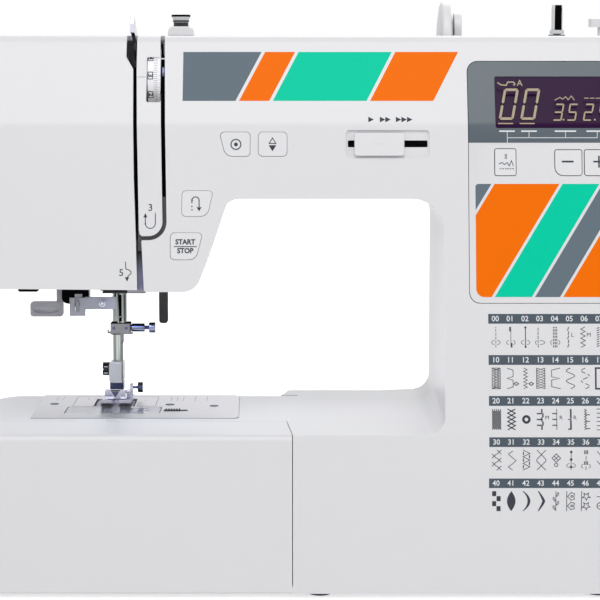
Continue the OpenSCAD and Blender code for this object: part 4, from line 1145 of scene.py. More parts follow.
class Stitches:
    """Draws each stitch symbol of the chart, centred on x between two heights."""

    def __init__(self, marks, x, low, high):
        self.m, self.x, self.low, self.high = marks, x, low, high
        self.mid = (low + high) / 2

    def at(self, u, v):
        return self.x + u, self.low + v

    def path(self, *points, width=0.32):
        self.m.line("ink", [self.at(*p) for p in points], width)

    def zig(self, u, half, turns, width, start=-1):
        self.m.line("ink", zigzag(self.x + u, self.low, self.high, half, turns, start), width)

    def letter(self, text, u, v, height):
        self.m.words("ink", text, self.x + u, self.mid + v, height)

    def foot(self, u=0, v=2.4, wide=2.1, sides=(-1, 1), gap=0.7):
        """The outline of the foot round a needle hole."""
        x, z = self.at(u, v)
        for side in sides:
            points = [(x + side * (gap + (wide - gap) * math.sin(math.radians(a))),
                       z + FOOT_HEIGHT * math.cos(math.radians(a))) for a in range(0, 181, 20)]
            self.m.line("ink", points, 0.26)

    def draw(self, number):
        getattr(self, "row" + str(number // 10))(number % 10)

    def row0(self, n):
        m, x, low, high = self.m, self.x, self.low, self.high
        if n == 0:
            m.dashes("ink", (x, low), (x, high), 1.4, 0.5, 0.3)
            self.foot()
        elif n == 1:
            m.line("ink", [(x + 0.1, low), (x + 0.1, high)], 0.26)
            m.line("ink", [(x - 0.35, high - 2.2), (x - 0.35, high)], 0.6)
            m.line("ink", [(x + 0.55, low), (x + 0.55, low + 2.2)], 0.6)
            self.foot(0.1, 2.4, gap=1.1)
        elif n == 2:
            m.line("ink", [(x, low), (x, high)], 0.4)
            m.disc("ink", x, high - 0.3, 0.5)
            m.disc("ink", x, low + 0.3, 0.5)
            self.foot(0, 2.4, gap=0.8)
        elif n == 3:
            m.dashes("ink", (x - 1.1, low), (x - 1.1, high), 1.6, 0.4, 0.34)
            self.foot(-0.4, 2.4, 2.6, sides=(1,), gap=0.2)
            self.foot(-1.5, 2.4, 0.9, sides=(-1,), gap=0.3)
        elif n == 4:
            for u in (-0.8, 0, 0.8):
                m.dashes("ink", (x + u, low), (x + u, high), 1.1, 0.45, 0.42)
            self.foot(0, 2.4, 2.3, gap=1.5)
        elif n == 5:
            for i in range(5):
                self.path((-1.2 + 0.3 * (i % 2), i * 2.05), (-0.6, i * 2.05 + 1.7), width=0.42)
            self.letter("L", 1.2, 1.0, 2.0)
        elif n == 6:
            self.zig(-0.9, 1.1, 9, 0.32)
            self.letter("M", 2.0, 1.1, 2.0)
        elif n == 7:
            for i in range(9):
                self.path((-1.4, i * 1.1 + 0.4), (-0.2, i * 1.1 + 0.9), width=0.4)
                self.path((0.2, i * 1.1 + 0.9), (1.5, i * 1.1 + 0.3), width=0.4)
        elif n == 8:
            self.zig(0, 1.6, 7, 0.32)
            self.foot(0, 2.4, 2.6, gap=2.0)
        else:
            self.zig(0, 1.5, 12, 0.3)

    def row1(self, n):
        m, x, low, high = self.m, self.x, self.low, self.high
        if n == 0:
            m.loop("ink", [(x - 2, low), (x + 2, low), (x + 2, high), (x - 2, high)], 0.3)
            m.line("ink", zigzag(x, low + 0.3, high - 0.3, 1.7, 12), 0.42)
            m.line("ink", zigzag(x + 0.2, low + 0.3, high - 0.3, 1.5, 12, 1), 0.42)
        elif n == 1:
            self.path((-2, 0), (1, 0.9), (1, 4.1), (-2, 5), (1, 5.9), (1, 9), (-2, 10))
            self.diamond(2.6, 2.4)
        elif n == 2:
            self.zig(-0.2, 0.9, 12, 0.32)
            self.diamond(2.6, 2.4)
        elif n == 3:
            self.path((-2, 0), (-2, 10), width=0.4)
            self.path((2, 0), (2, 10))
            self.zig(0, 1.9, 8, 0.3)
            self.zig(0, 1.9, 8, 0.3, 1)
        elif n == 4:
            self.path((2.4, 0), (-2, 1), (-2, 4.2), (2, 5), (-2, 5.8), (-2, 9), (2.2, 10))
        elif n == 5:
            m.line("ink", wave(x, low, high, 2.1, 2), 0.34)
        elif n == 6:
            points = wave(x, low, high, 2.0, 2)
            for i in range(0, len(points) - 2, 3):
                m.line("ink", points[i:i + 3], 0.36)
        elif n == 7:
            m.loop("ink", [(x - 2.2, low), (x + 2.2, low), (x + 2.2, high), (x - 2.2, high)], 0.8)
        elif n == 8:
            for v in range(6):
                self.path((-1.8, v * 1.9), (1.8, v * 1.9 + 0.5))
            self.path((-1.8, 0), (-1.8, 10))
        else:
            self.zig(0, 2.0, 5, 0.5)

    def diamond(self, u, v):
        wide, tall = DIAMOND_SIZE, DIAMOND_SIZE * 0.7
        self.m.loop("ink", [self.at(u - wide, v), self.at(u, v - tall), self.at(u + wide, v), self.at(u, v + tall)],
                    0.4)

    def row2(self, n):
        m, x, low, high = self.m, self.x, self.low, self.high
        if n == 0:
            for i in range(9):
                u = -2 + i * 0.5
                self.path((u, 0.4 * (i % 2)), (u, 10 - 0.8 * (i % 2)), width=0.38)
        elif n == 1:
            self.zig(-0.9, 1.0, 10, 0.5)
            self.zig(0.9, 1.0, 10, 0.5, 1)
        elif n == 2:
            m.disc("ink", x, self.mid, 2.1, 0.9)
        elif n == 3:
            for i in range(5):
                self.path((0.3 + 0.5 * (i % 2), i * 2), (0.3 + 0.5 * (i % 2), i * 2 + 2), width=0.7)
            for v in (2.2, 5, 7.8):
                self.path((-2.2, v), (0.2, v), width=0.6)
            self.letter("M", 2.9, 0.8, 1.9)
        elif n == 4:
            self.path((0.3, 0), (0.3, 10))
            for v in (2.2, 5, 7.8):
                self.path((-1.9, v), (0.3, v), width=0.5)
            self.letter("R", 2.4, 0.8, 1.9)
        elif n == 5:
            self.path((-0.1, 0.4), (-0.1, 4.6), width=0.8)
            self.path((-0.1, 5.4), (-0.1, 10), width=0.8)
            self.path((-1.5, 0.3), (0.2, 0.3), width=0.6)
            self.path((-1.5, 5.0), (0.2, 5.0), width=0.45)
            self.letter("R", 1.9, 0.8, 1.9)
        elif n == 6:
            self.zig(-0.2, 0.5, 16, 0.34)
            for v in (0.5, 4, 7.2):
                self.path((0, v), (2.0, v + 0.1), width=0.4)
        elif n == 7:
            for i in range(6):
                self.path((-2, i * 2), (2, i * 2), width=0.34)
            self.path((1.2, 0), (1.2, 10), width=0.34)
        elif n == 8:
            m.line("ink", wave(x - 0.8, low, high, 0.9, 3, 8), 0.4)
            m.line("ink", wave(x + 0.8, low, high, -0.9, 3, 8), 0.4)
        else:
            for v in (1.5, 5, 8.5):
                m.disc("ink", x, low + v, 1.2, 0.6)

    def row3(self, n):
        m, x, low = self.m, self.x, self.low
        if n == 0:
            for u, v in ((1.2, 9.0), (-1.2, 7.0), (1.2, 5.0), (-1.2, 3.0), (1.2, 1.0)):
                self.path((u - 1.1, v - 1.1), (u + 1.1, v + 1.1), width=0.34)
                self.path((u - 1.1, v + 1.1), (u + 1.1, v - 1.1), width=0.34)
        elif n == 1:
            self.path((0.6, 0), (-1.6, 1.6), (0.4, 3.0), (2.2, 4.8), (0.4, 6.2), (-1.6, 8.0), (0.6, 9.6))
        elif n == 2:
            self.zig(0, 1.7, 6, 0.34)
            for i in range(1, 6):
                self.path((1.5 * (-1) ** i, i * 10 / 6 - 0.8), (1.5 * (-1) ** i, i * 10 / 6 + 0.8), width=0.5)
        elif n == 3:
            self.path((-2.2, 0), (2.2, 4.4), (2.2, 5.4), (-2.2, 10), width=0.34)
            self.path((2.2, 0), (-2.2, 4.4), (-2.2, 5.4), (2.2, 10), width=0.34)
        elif n == 4:
            m.loop("ink", [(x - 2.1, low + 6), (x, low + 3.9), (x + 2.1, low + 6), (x, low + 8.1)], 0.36)
            self.path((-1.05, 4.95), (1.05, 7.05))
            self.path((1.05, 4.95), (-1.05, 7.05))
            m.disc("ink", x, low + 2.6, 1.0, 0.66)
        elif n == 5:
            self.path((0, 0), (0, 10), width=0.28)
            for v in (1.6, 5.3, 9.0):
                m.disc("ink", x, low + v, 0.62)
            self.foot(0, 2.3, 2.2, gap=0.7)
        elif n == 6:
            for v in (8.0, 2.6):
                for u in (-0.7, 0, 0.7):
                    self.path((u, v), (u, v + 1.9), width=0.42)
            self.path((0, 5), (0, 7.2))
            self.path((0, 0), (0, 1.8))
            self.foot(0, 2.0, 2.2, gap=1.3)
        elif n == 7:
            self.path((-2, 9.4), (0.2, 7.0))
            self.path((-2, 4.6), (0.2, 2.2))
            self.path((0.6, 9.4), (0.6, 0.4))
        elif n == 8:
            self.zig(0, 1.8, 4, 0.34)
            self.zig(0, 1.8, 4, 0.34, 1)
        else:
            for v in (0.4, 3.8, 7.2):
                m.loop("ink", [(x - 1.5, low + v), (x + 1.5, low + v), (x, low + v + 2.4)], 0.36)

    def row4(self, n):
        m, x, low, high = self.m, self.x, self.low, self.high
        if n == 0:
            for i in range(4):
                u = -1.1 if i % 2 else 1.1
                m.shape("ink", [self.at(u - 1.0, i * 2.5), self.at(u + 1.0, i * 2.5), self.at(u + 1.0, i * 2.5 + 2.5),
                                self.at(u - 1.0, i * 2.5 + 2.5)])
        elif n == 1:
            side = [(2.1 * math.sin(math.pi * v / 10) ** 0.9, v) for v in range(0, 11)]
            m.shape("ink", [self.at(*p) for p in side] + [self.at(-u, v) for u, v in side[-2:0:-1]])
        elif n in (2, 3):
            bend = (lambda v: 1.9 - 3.4 * (v / 5 - 1) ** 2) if n == 2 else (lambda v: 1.9 - 3.2 * abs(v / 5 - 1) ** 1.3)
            right = [(bend(v) + 0.2, v) for v in range(0, 11)]
            left = [(bend(v) - 1.1 * math.sin(math.pi * (0.06 + v / 11.4)) - 0.1, v) for v in range(10, -1, -1)]
            m.shape("ink", [self.at(*p) for p in right + left])
        elif n == 4:
            self.path((0, 0), (0, 10), width=0.3)
            for side, v in ((1, 7.4), (-1, 5.0), (1, 3.0), (-1, 0.8)):
                leaf = [(side * (0.3 + 0.9 * t), v + 2.0 * t + 0.5 * math.sin(math.pi * t))
                        for t in (0, 0.25, 0.5, 0.75, 1)]
                back = [(side * (0.5 + 1.3 * t), v - 0.1 + 1.9 * t - 0.3 * math.sin(math.pi * t))
                        for t in (0.75, 0.5, 0.25)]
                m.loop("ink", [self.at(*p) for p in leaf + back], 0.3)
        elif n == 5:
            self.path((-2, 0), (-2, 10), width=0.34)
            for v in (2.6, 7.4):
                m.loop("ink", [self.at(-1.6, v), self.at(0.2, v - 1.9), self.at(1.9, v - 1.3), self.at(1.5, v),
                               self.at(1.9, v + 1.3), self.at(0.2, v + 1.9)], 0.34)
                m.disc("ink", x + 0.5, low + v, 0.65, 0.3)
        elif n == 6:
            self.path((-2, 0), (-2, 10), width=0.34)
            for v in (2.6, 7.4):
                star = []
                for i in range(10):
                    reach, angle = 0.9 if i % 2 else 2.0, math.tau * i / 10 + 0.6
                    star.append(self.at(0.3 + reach * math.sin(angle), v + reach * math.cos(angle)))
                m.loop("ink", star, 0.34)
        elif n == 7:
            m.disc("ink", x, low + 2.6, 1.9, 1.5)
            self.path((-1.4, 2.6), (1.4, 2.6), width=0.3)
            self.path((-2, 7.2), (1.6, 7.2), width=0.34)
        elif n == 8:
            m.line("ink", wave(x, low, high, 1.6, 3, 8), 0.6)
        else:
            for v in (1.8, 5.0, 8.2):
                m.loop("ink", [self.at(-1.5, v), self.at(0, v - 1.2), self.at(1.5, v), self.at(0, v + 1.2)], 0.4)


class SEWING_OT_stitch_chart(bpy.types.Operator):
    """Numbered bands and stitch symbols on the right of the front"""
    bl_idname = "sewing.stitch_chart"
    bl_label = "Stitch Chart"

    def execute(self, context):
        for plane, rows in (("column", (0, 1, 2, 3)), ("base", (3, 4))):
            marks = Marks(plane)
            for row in rows:
                top = CHART_TOPS[row]
                low = top - SYMBOL_DROP
                band_low, band_high = top - BAND_HEIGHT, top
                if row == RIM_ROW:
                    band_low, band_high = (band_low, RIM_Z) if plane == "base" else (RIM_Z, top)
                marks.shape("chart", box_loop(CHART_LEFT, CHART_RIGHT, band_low, band_high))
                if row == RIM_ROW and plane == "column":
                    continue
                for column in range(10):
                    x = CHART_FIRST + column * CHART_PITCH
                    number = row * 10 + column
                    marks.words("pale_ink", f"{number:02d}", x, top - BAND_HEIGHT / 2 - 0.05, 2.7, 0.05, wide=0.96)
                    Stitches(marks, x + 0.2, low, low + SYMBOL_HEIGHT).draw(number)
            marks.lay("stitch_chart_" + plane)
        return {"FINISHED"}


def box_loop(x0, x1, z0, z1):
    return [(x0, z0), (x1, z0), (x1, z1), (x0, z1)]


class SEWING_OT_colour_blocks(bpy.types.Operator):
    """Slanted colour blocks printed on the arm"""
    bl_idname = "sewing.colour_blocks"
    bl_label = "Colour Blocks"

    def execute(self, context):
        marks = Marks("brow")
        low, high, slant = 245.4, 269.8, 13.0
        edges = ((-88.6, -62.0, "slate"), (-60.2, -45.0, "orange"), (-43.2, 4.0, "teal"), (5.8, 37.6, "orange"))
        for left, right, ink in edges:
            lead = 0 if left < -88 else slant
            marks.shape(ink, [(left, low), (right, low), (right + slant, high), (left + lead, high)])
        marks.lay("arm_blocks")
        return {"FINISHED"}


# ---- control panel -----------------------------------------------------------------------------
GREY_LOW, LEAD_Z, MODE_X = 224.7, 227.2, 74.4


class SEWING_OT_control_panel(bpy.types.Operator):
    """Grey upper part and white lower part of the panel, with its line drawing"""
    bl_idname = "sewing.control_panel"
    bl_label = "Control Panel"

    def execute(self, context):
        piece = dressed("control_panel", 0.35, 2)
        with editing(piece):
            bpy.ops.mesh.bisect(plane_co=(0, 0, GREY_LOW * MM), plane_no=(0, 0, 1))
        finish_piece(piece, "machine", "panel_grey", finishes()["panel"], "control_panel")
        piece.data.materials.append(finishes()["casing"])
        for face in piece.data.polygons:
            face.material_index = int(face.center.z < GREY_LOW * MM)
        self.leads()
        return {"FINISHED"}

    def leads(self):
        """White lines that join the display's figures to the keys below."""
        marks = Marks("column")
        for x0, x1, stem in ((70.4, 78.2, MODE_X), (81.4, 89.2, 85.3), (98.2, 108.9, 103.6), (114.1, 124.9, 119.5)):
            marks.shape("pale_ink", box_loop(x0, x1, 230.1, 230.8))
            marks.line("pale_ink", [(stem, 230.4), (stem, GREY_LOW if stem == MODE_X else LEAD_Z)], 0.3)
        marks.line("pale_ink", [(MODE_X, LEAD_Z), (119.5, LEAD_Z)], 0.3)
        marks.lay("panel_leads", "machine", "panel_grey")


SEGMENTS = {  # ends of each bar of a seven-bar figure, on a box one wide and two tall
    "a": ((0, 2), (1, 2)), "b": ((1, 2), (1, 1)), "c": ((1, 1), (1, 0)), "d": ((0, 0), (1, 0)),
    "e": ((0, 1), (0, 0)), "f": ((0, 2), (0, 1)), "g": ((0, 1), (1, 1))}
FIGURE_LEAN = 0.19
FIGURES = {"0": "abcdef", "3": "abcdg", "5": "acdfg", "2": "abdeg", "4": "bcfg", "1": "bc"}


class SEWING_OT_display_figures(bpy.types.Operator):
    """Lit figures of the display: stitch number, width and length"""
    bl_idname = "sewing.display_figures"
    bl_label = "Display Figures"

    def execute(self, context):
        sheet = Marks("column", -0.25)
        for x in (70.1, 80.9):
            figure(sheet, "0", x, 236.1, 7.5, 15.6, 1.25)
            sheet.line("digits", [(x - 0.2, 234.3), (x + 7.3, 234.3)], 0.55)
        for text, x in (("3", 97.3), ("5", 104.3), ("2", 112.3), ("4", 119.8)):
            figure(sheet, text, x, 235.6, 4.4, 8.6, 0.75)
        for x in (102.3, 118.0):
            sheet.shape("digits", box_loop(x, x + 0.8, 235.8, 236.6))
        sheet.words("digits", "A", 80.9, 254.3, 3.0, 0.05)
        sheet.line("digits", [(69.7, 254.7), (71.5, 253.5), (74.2, 253.3), (74.9, 254.9), (77.8, 254.9), (78.5, 254.0),
                              (77.8, 253.2)], 0.6)
        sheet.line("digits", [(98.4, 245.9), (99.6, 246.5), (101.0, 247.3), (102.3, 246.4), (103.9, 247.6),
                              (105.2, 246.1),
                                   (106.8, 248.0), (108.3, 245.9)], 0.42)
        sheet.dashes("digits", (113.2, 246.9), (121.4, 246.9), 2.3, 0.6, 0.42)
        sheet.lay("display_figures", "machine", "display")
        return {"FINISHED"}


def figure(marks, text, x, z, wide, tall, thick):
    """A seven-bar figure that leans a little to the right."""
    for key in FIGURES[text]:
        (x0, y0), (x1, y1) = SEGMENTS[key]
        gap = thick * 0.32
        if y0 == y1:
            x0, x1 = x0 * wide + gap, x1 * wide - gap
            shift = thick / 2 if y0 == 0 else -thick / 2 if y0 == 2 else 0
            ends = [(x0, y0 * tall / 2 + shift), (x1, y1 * tall / 2 + shift)]
        else:
            shift = thick / 2 if x0 == 0 else -thick / 2
            ends = [(x0 * wide + shift, y0 * tall / 2 - gap), (x1 * wide + shift, y1 * tall / 2 + gap)]
        marks.shape("digits", pointed_bar([(x + u + FIGURE_LEAN * v, z + v) for u, v in ends], thick))


def pointed_bar(ends, width):
    a, b = (Vector(p) for p in ends)
    along = (b - a).normalized()
    side = Vector((-along.y, along.x)) * width / 2
    cap = along * width / 2
    return [tuple(p) for p in (a - cap * 0.2, a + cap * 0.8 + side, b - cap * 0.8 + side, b + cap * 0.2,
                               b - cap * 0.8 - side, a + cap * 0.8 - side)]


ART_BOX, ART_SHIFT, ART_LEAN = (58.2, 149.0, 148.9, 204.4), 34.4, 0.62


class SEWING_OT_panel_art(bpy.types.Operator):
    """Leaning stripes of colour on the lower part of the panel"""
    bl_idname = "sewing.panel_art"
    bl_label = "Panel Stripes"

    def execute(self, context):
        marks = Marks("column")
        left, right, low, high = ART_BOX
        outline = rounded([(left, low, 4), (right, low, 4), (right, high, 1.5), (left, high, 1.5)], 6)
        stripes = ((-60, 8.0, "slate"), (9.6, 42.0, "orange"), (43.6, 62.0, "teal"), (63.6, 76.0, "slate"),
                   (77.6, 180, "orange"))
        for start, end, ink in stripes:
            x0, x1 = left - ART_SHIFT + start, left - ART_SHIFT + end
            lead = (high - low) * ART_LEAN
            band = [(x0, low), (x1, low), (x1 + lead, high), (x0 + lead, high)]
            clipped = clip(outline, band)
            if len(clipped) > 2:
                marks.shape(ink, clipped)
        marks.lay("panel_stripes", "machine", "panel_grey")
        return {"FINISHED"}


def clip(outline, fence):
    """What is common to an outline and a four-sided fence, both anticlockwise."""
    made = list(outline)
    for i, b in enumerate(fence):
        a = Vector(fence[i - 1])
        side = Vector(b) - a
        inward = Vector((-side.y, side.x))
        kept = []
        for j, p in enumerate(made):
            q = made[j - 1]
            dp, dq = (Vector(p) - a).dot(inward), (Vector(q) - a).dot(inward)
            if dp * dq < 0:
                kept.append(tuple(Vector(q).lerp(Vector(p), dq / (dq - dp))))
            if dp >= 0:
                kept.append(p)
        made = kept
        if not made:
            break
    return made


BUTTONS = ("start_stop_button", "reverse_button", "lock_stitch_button", "needle_position_button")
KEYS = ("mode_key", "minus_key", "plus_key")
KEY_HEIGHT = 0.5  # how far the keys stand over the front


class SEWING_OT_front_symbols(bpy.types.Operator):
    """Symbols of the buttons, keys, slider and threading path"""
    bl_idname = "sewing.front_symbols"
    bl_label = "Front Symbols"

    def execute(self, context):
        for node in BUTTONS + KEYS:
            marks = Marks("column", KEY_HEIGHT if node in KEYS else 0)
            getattr(self, node)(marks)
            marks.lay(node.replace("_button", "") + "_symbol", node)
        self.slider()
        self.threading()
        return {"FINISHED"}

    def start_stop_button(self, marks):
        marks.words("ink", "START", -86.7, 175.75, 2.5, 0.13, wide=0.94)
        marks.line("ink", [(-92.4, 173.55), (-81.0, 173.55)], 0.42)
        marks.words("ink", "STOP", -86.7, 171.45, 2.5, 0.13, wide=0.94)

    def reverse_button(self, marks):
        top = [(-83.5, 194.9), (-83.5, 196.2)] + arc(-81.7, 196.2, 1.8, 180, -180, 10) + [(-79.9, 191.9)]
        marks.line("ink", top, 0.5)
        marks.shape("ink", [(-81.2, 193.1), (-79.9, 190.9), (-78.6, 193.1), (-79.9, 192.6)])
        marks.disc("ink", -83.5, 193.3, 0.36)
        marks.disc("ink", -83.45, 191.6, 0.36)

    def lock_stitch_button(self, marks):
        marks.disc("ink", -61.6, 223.9, 2.75, 2.2)
        marks.disc("ink", -61.6, 223.9, 0.95)

    def needle_position_button(self, marks):
        marks.loop("ink", [(-45.0, 224.35), (-41.6, 224.35), (-43.3, 227.1)], 0.42)
        marks.shape("ink", [(-45.2, 223.5), (-43.3, 220.5), (-41.4, 223.5)])

    def mode_key(self, marks):
        for i in range(2):
            for j in range(4):
                x, z = 73.0 + i * 0.62, 216.7 + j * 0.62
                marks.shape("ink", box_loop(x, 73.42 + i * 0.62, z, 217.12 + j * 0.62))
        marks.line("ink", [(70.0, 214.1), (71.6, 214.9), (72.9, 213.8), (74.1, 214.9), (75.2, 213.2), (76.3, 215.8),
                           (77.2, 213.2)], 0.36)
        for x in (70.4, 71.7, 73.1, 74.2, 75.4, 76.6):
            marks.shape("ink", box_loop(x, x + 0.75, 211.6, 212.0))

    def minus_key(self, marks):
        marks.shape("ink", box_loop(101.5, 107.4, 214.9, 215.75))

    def plus_key(self, marks):
        marks.shape("ink", [(117.2, 214.9), (119.7, 214.9), (119.7, 212.4), (120.5, 212.4), (120.5, 214.9),
                            (123.0, 214.9), (123.0, 215.7), (120.5, 215.7), (120.5, 218.2), (119.7, 218.2),
                            (119.7, 215.7), (117.2, 215.7)])

    def slider(self):
        marks = Marks("brow")
        for x in (4.8, 10.6, 13.3, 18.6, 21.4, 24.2):
            marks.shape("ink", [(x, 234.85), (x + 2.7, 236.2), (x, 237.55)])
        marks.lay("speed_symbols")

    def threading(self):
        marks = Marks("column")
        marks.words("ink", "3", -104.2, 192.6, 3.5, 0.02)
        marks.line("ink", [(-106.7, 188.2), (-106.7, 185.0)] + arc(-104.2, 185.0, 2.5, 180, 180,
                                                                   12) + [(-101.7, 190.2)], 0.4)
        marks.shape("ink", [(-107.7, 187.9), (-105.7, 187.9), (-106.7, 190.0)])
        marks.words("ink", "5", -118.5, 160.7, 3.5, 0.02)
        marks.line("ink", [(-116.4, 166.2), (-116.3, 162.7), (-114.9, 162.2), (-113.7, 161.4), (-113.6, 160.4),
                           (-115.0, 159.2),
                           (-115.6, 158.0), (-115.6, 157.2)], 0.4)
        marks.shape("ink", [(-116.6, 158.6), (-114.6, 158.6), (-115.6, 156.4)])
        marks.lay("threading_numbers")


# ---- threading path ----------------------------------------------------------------------------
DIAL_Y, DIAL_Z, DIAL_R = -23.6, 255.6, 15.4
TICK_STEP = 3.6
GUIDE_PLACE = (-92, 9, 0)
# The slot linings and the groove floor stand partly for the dark channel inside and partly for painted shade in the
# slots and the groove.
# name: (near and far depth behind the front, outline, finish)
LININGS = {
    "groove_floor": (3.2, 4.4, [(-110.6, 171), (-94.2, 171), (-94.2, 197.6), (-110.6, 197.6)], "shade"),
    "slot_lining_right": (4.6, 5.8, [(-100.6, 198), (-96.4, 198), (-96.9, 276.6), (-100.1, 276.6)], "unlit"),
    "slot_lining_left": (4.6, 5.8, [(-113.9, 176), (-107.4, 176), (-110.4, 262), (-113.9, 262)], "unlit"),
    "threading_path": (5, 6.2, [(-114, LOBE_Z + 0.4), (-104.2, LOBE_Z + 0.4), (-104.6, 175.6), (-114, 175.6)], "path"),
}
# name: (profile of radius and height, slot, finish, angle over which an edge stays sharp)
# The guide's disc, rim and band are one chrome part: the pale disc paints its lit look, and the black rim and band
# paint its dark reflections.
GUIDE_TURNINGS = {
    "neck": ([(0, 282.4), (3.9, 282.4), (3.9, 284.7), (3.2, 285), (0, 285)], "black_plastic", "black", 32),
    "disc": ([(0, 284.8), (3.6, 284.8), (4.1, 285.1), (4.3, 285.6), (4.0, 286.2), (4.9, 287.6), (4.8, 288.3),
              (4.3, 288.6), (0, 288.6)], "chrome", "pale_metal", 24),
    "rim": ([(3.4, 288.5), (4.95, 287.9), (5.0, 288.7), (4.4, 289), (3.4, 289)], "chrome", "unlit", 32),
    "band": ([(3.4, 285.1), (4.2, 285.1), (4.3, 285.7), (4.1, 286.1), (3.4, 286.1)], "chrome", "unlit", 32),
}


def about_x(piece, y, z, degrees):
    """Turns a piece round a line along X."""
    centre = Vector((0, y, z)) * MM
    turn = Matrix.Rotation(math.radians(degrees), 4, "X")
    piece.matrix_world = Matrix.Translation(centre) @ turn @ Matrix.Translation(-centre)
    settle(piece)
    return piece


class SEWING_OT_threading_path(bpy.types.Operator):
    """Channel walls behind the slots, dark partly as the channel inside and partly as painted shade, and the thread
    guide on top
    """
    bl_idname = "sewing.threading_path"
    bl_label = "Threading Path"

    def execute(self, context):
        for name, (near, far, outline, finish) in LININGS.items():
            complete(self.layer(name, near, far, outline), "machine", "black_plastic", finish, (0.2, 2, 50))
        self.guide()
        complete(self.layer("slot_guide", 1.6, 3.2, [(-97.6, 277.9), (-97.6, 266.8), (-98.7, 268.5), (-98.9, 273.6),
                                                     (-100.3, 275.6), (-100.5, 277.9)]),
                 "machine", "black_plastic", "shade", (0.3, 2, 50))
        complete(self.layer("slot_bar", 1.2, 2.2, [(-101, 266.1), (-97.4, 266.1), (-97.4, 266.7), (-101, 266.7)]),
                 "machine", "casing_white", "casing", (0.1, 2, 50))
        marks = Marks("brow")
        marks.line("pale_line", [(-111.6, 257.3), (-107.4, 257.3)], 0.3)
        marks.lay("tension_index")
        return {"FINISHED"}

    def layer(self, name, near, far, outline):
        """A sheet of an outline that follows the sloping front between two depths."""
        piece = combine(on_front(outline, name), front_shell(near, far, "layer"), "INTERSECT")
        piece.name = piece.data.name = name
        return piece

    def guide(self):
        base = slab("thread_guide_base", rounded([(-98.8, TOP_Z, 0), (-85.2, TOP_Z, 0), (-85.9, 281.6, 0.8),
                                                  (-87.4, 282.9, 1), (-96.6, 282.9, 1), (-98.1, 281.6, 0.8)], 5),
                    "xz", 2, 16)
        complete(base, "machine", "casing_white", "casing", (0.9, 3, 40), ["thread_guide"])
        for name, (profile, slot, finish, flat) in GUIDE_TURNINGS.items():
            complete(turned("thread_guide_" + name, profile, "z", GUIDE_PLACE), "machine", slot, finish, flat=flat)


class SEWING_OT_winder_spindle(bpy.types.Operator):
    """Bobbin winder spindle with painted light and shade: pale metal overall, unlit black on upper faces turned one way
    """
    bl_idname = "sewing.winder_spindle"
    bl_label = "Winder Spindle"

    def execute(self, context):
        piece = moulding("winder_spindle", 0.2, 2, "winder_spindle", "steel", "pale_metal")
        # painted shade: upper faces chosen by their normals are given unlit black
        repaint(piece, "unlit", lambda c, n: c.z > 281 and -0.45 < n.x < 0.8)
        return {"FINISHED"}


class SEWING_OT_tension_scale(bpy.types.Operator):
    """Boxed figures and fine lines round the tension dial"""
    bl_idname = "sewing.tension_scale"
    bl_label = "Tension Scale"

    def execute(self, context):
        figures = [self.figure(str((4 - i) % 9 + 1 if i > 4 else 4 - i), 46 - 37 * i) for i in range(9)]
        finish_piece(joined("tension_figures", figures), "tension_dial", "casing_white", finishes()["ink"])
        tick = block("tick", -103.5, -101.5, DIAL_Y - DIAL_R - 0.04, DIAL_Y - DIAL_R + 0.1, DIAL_Z - 0.11,
                     DIAL_Z + 0.11)
        ticks = [about_x(copied(tick, "tick"), DIAL_Y, DIAL_Z, TICK_STEP * i) for i in range(1, 100)]
        finish_piece(joined("tension_lines", [tick] + ticks), "tension_dial", "casing_white", finishes()["pale_line"])
        return {"FINISHED"}

    def figure(self, text, angle):
        """One figure in its box, lying on the dial."""
        marks = Marks(((DIAL_Y - DIAL_R, DIAL_Z - 5), (DIAL_Y - DIAL_R, DIAL_Z + 5)))
        marks.loop("ink", box_loop(-106.3, -103.9, DIAL_Z - 1.75, DIAL_Z + 1.75), 0.36)
        marks.words("ink", text, -105.1, DIAL_Z, 2.1, 0.09, turn=-90, wide=1.25)
        pick(*marks.pieces["ink"])
        bpy.ops.object.convert(target="MESH")
        piece = joined("figure", list(bpy.context.selected_objects))
        settle(piece)
        piece.rotation_euler.x = marks.turn
        piece.location = (0, (marks.y0 - 0.02) * MM, marks.z0 * MM)
        settle(piece)
        return about_x(piece, DIAL_Y, DIAL_Z, -angle)


# ---- needle area -------------------------------------------------------------------------------
SCREW_Y = 22.0
# middle and half sizes, in metres, of the ball that hollows the threader's thumb tab
THUMB_MIDDLE, THUMB_SIZE = (-0.1644, 0.0049, 0.1335), (0.0082, 0.0016, 0.0026)


def repaint(piece, finish, chosen):
    """Gives the chosen faces, by their middle and normal in millimetres, a second finish."""
    piece.data.materials.append(finishes()[finish])
    index = len(piece.data.materials) - 1
    for face in piece.data.polygons:
        if chosen(face.center / MM, face.normal):
            face.material_index = index


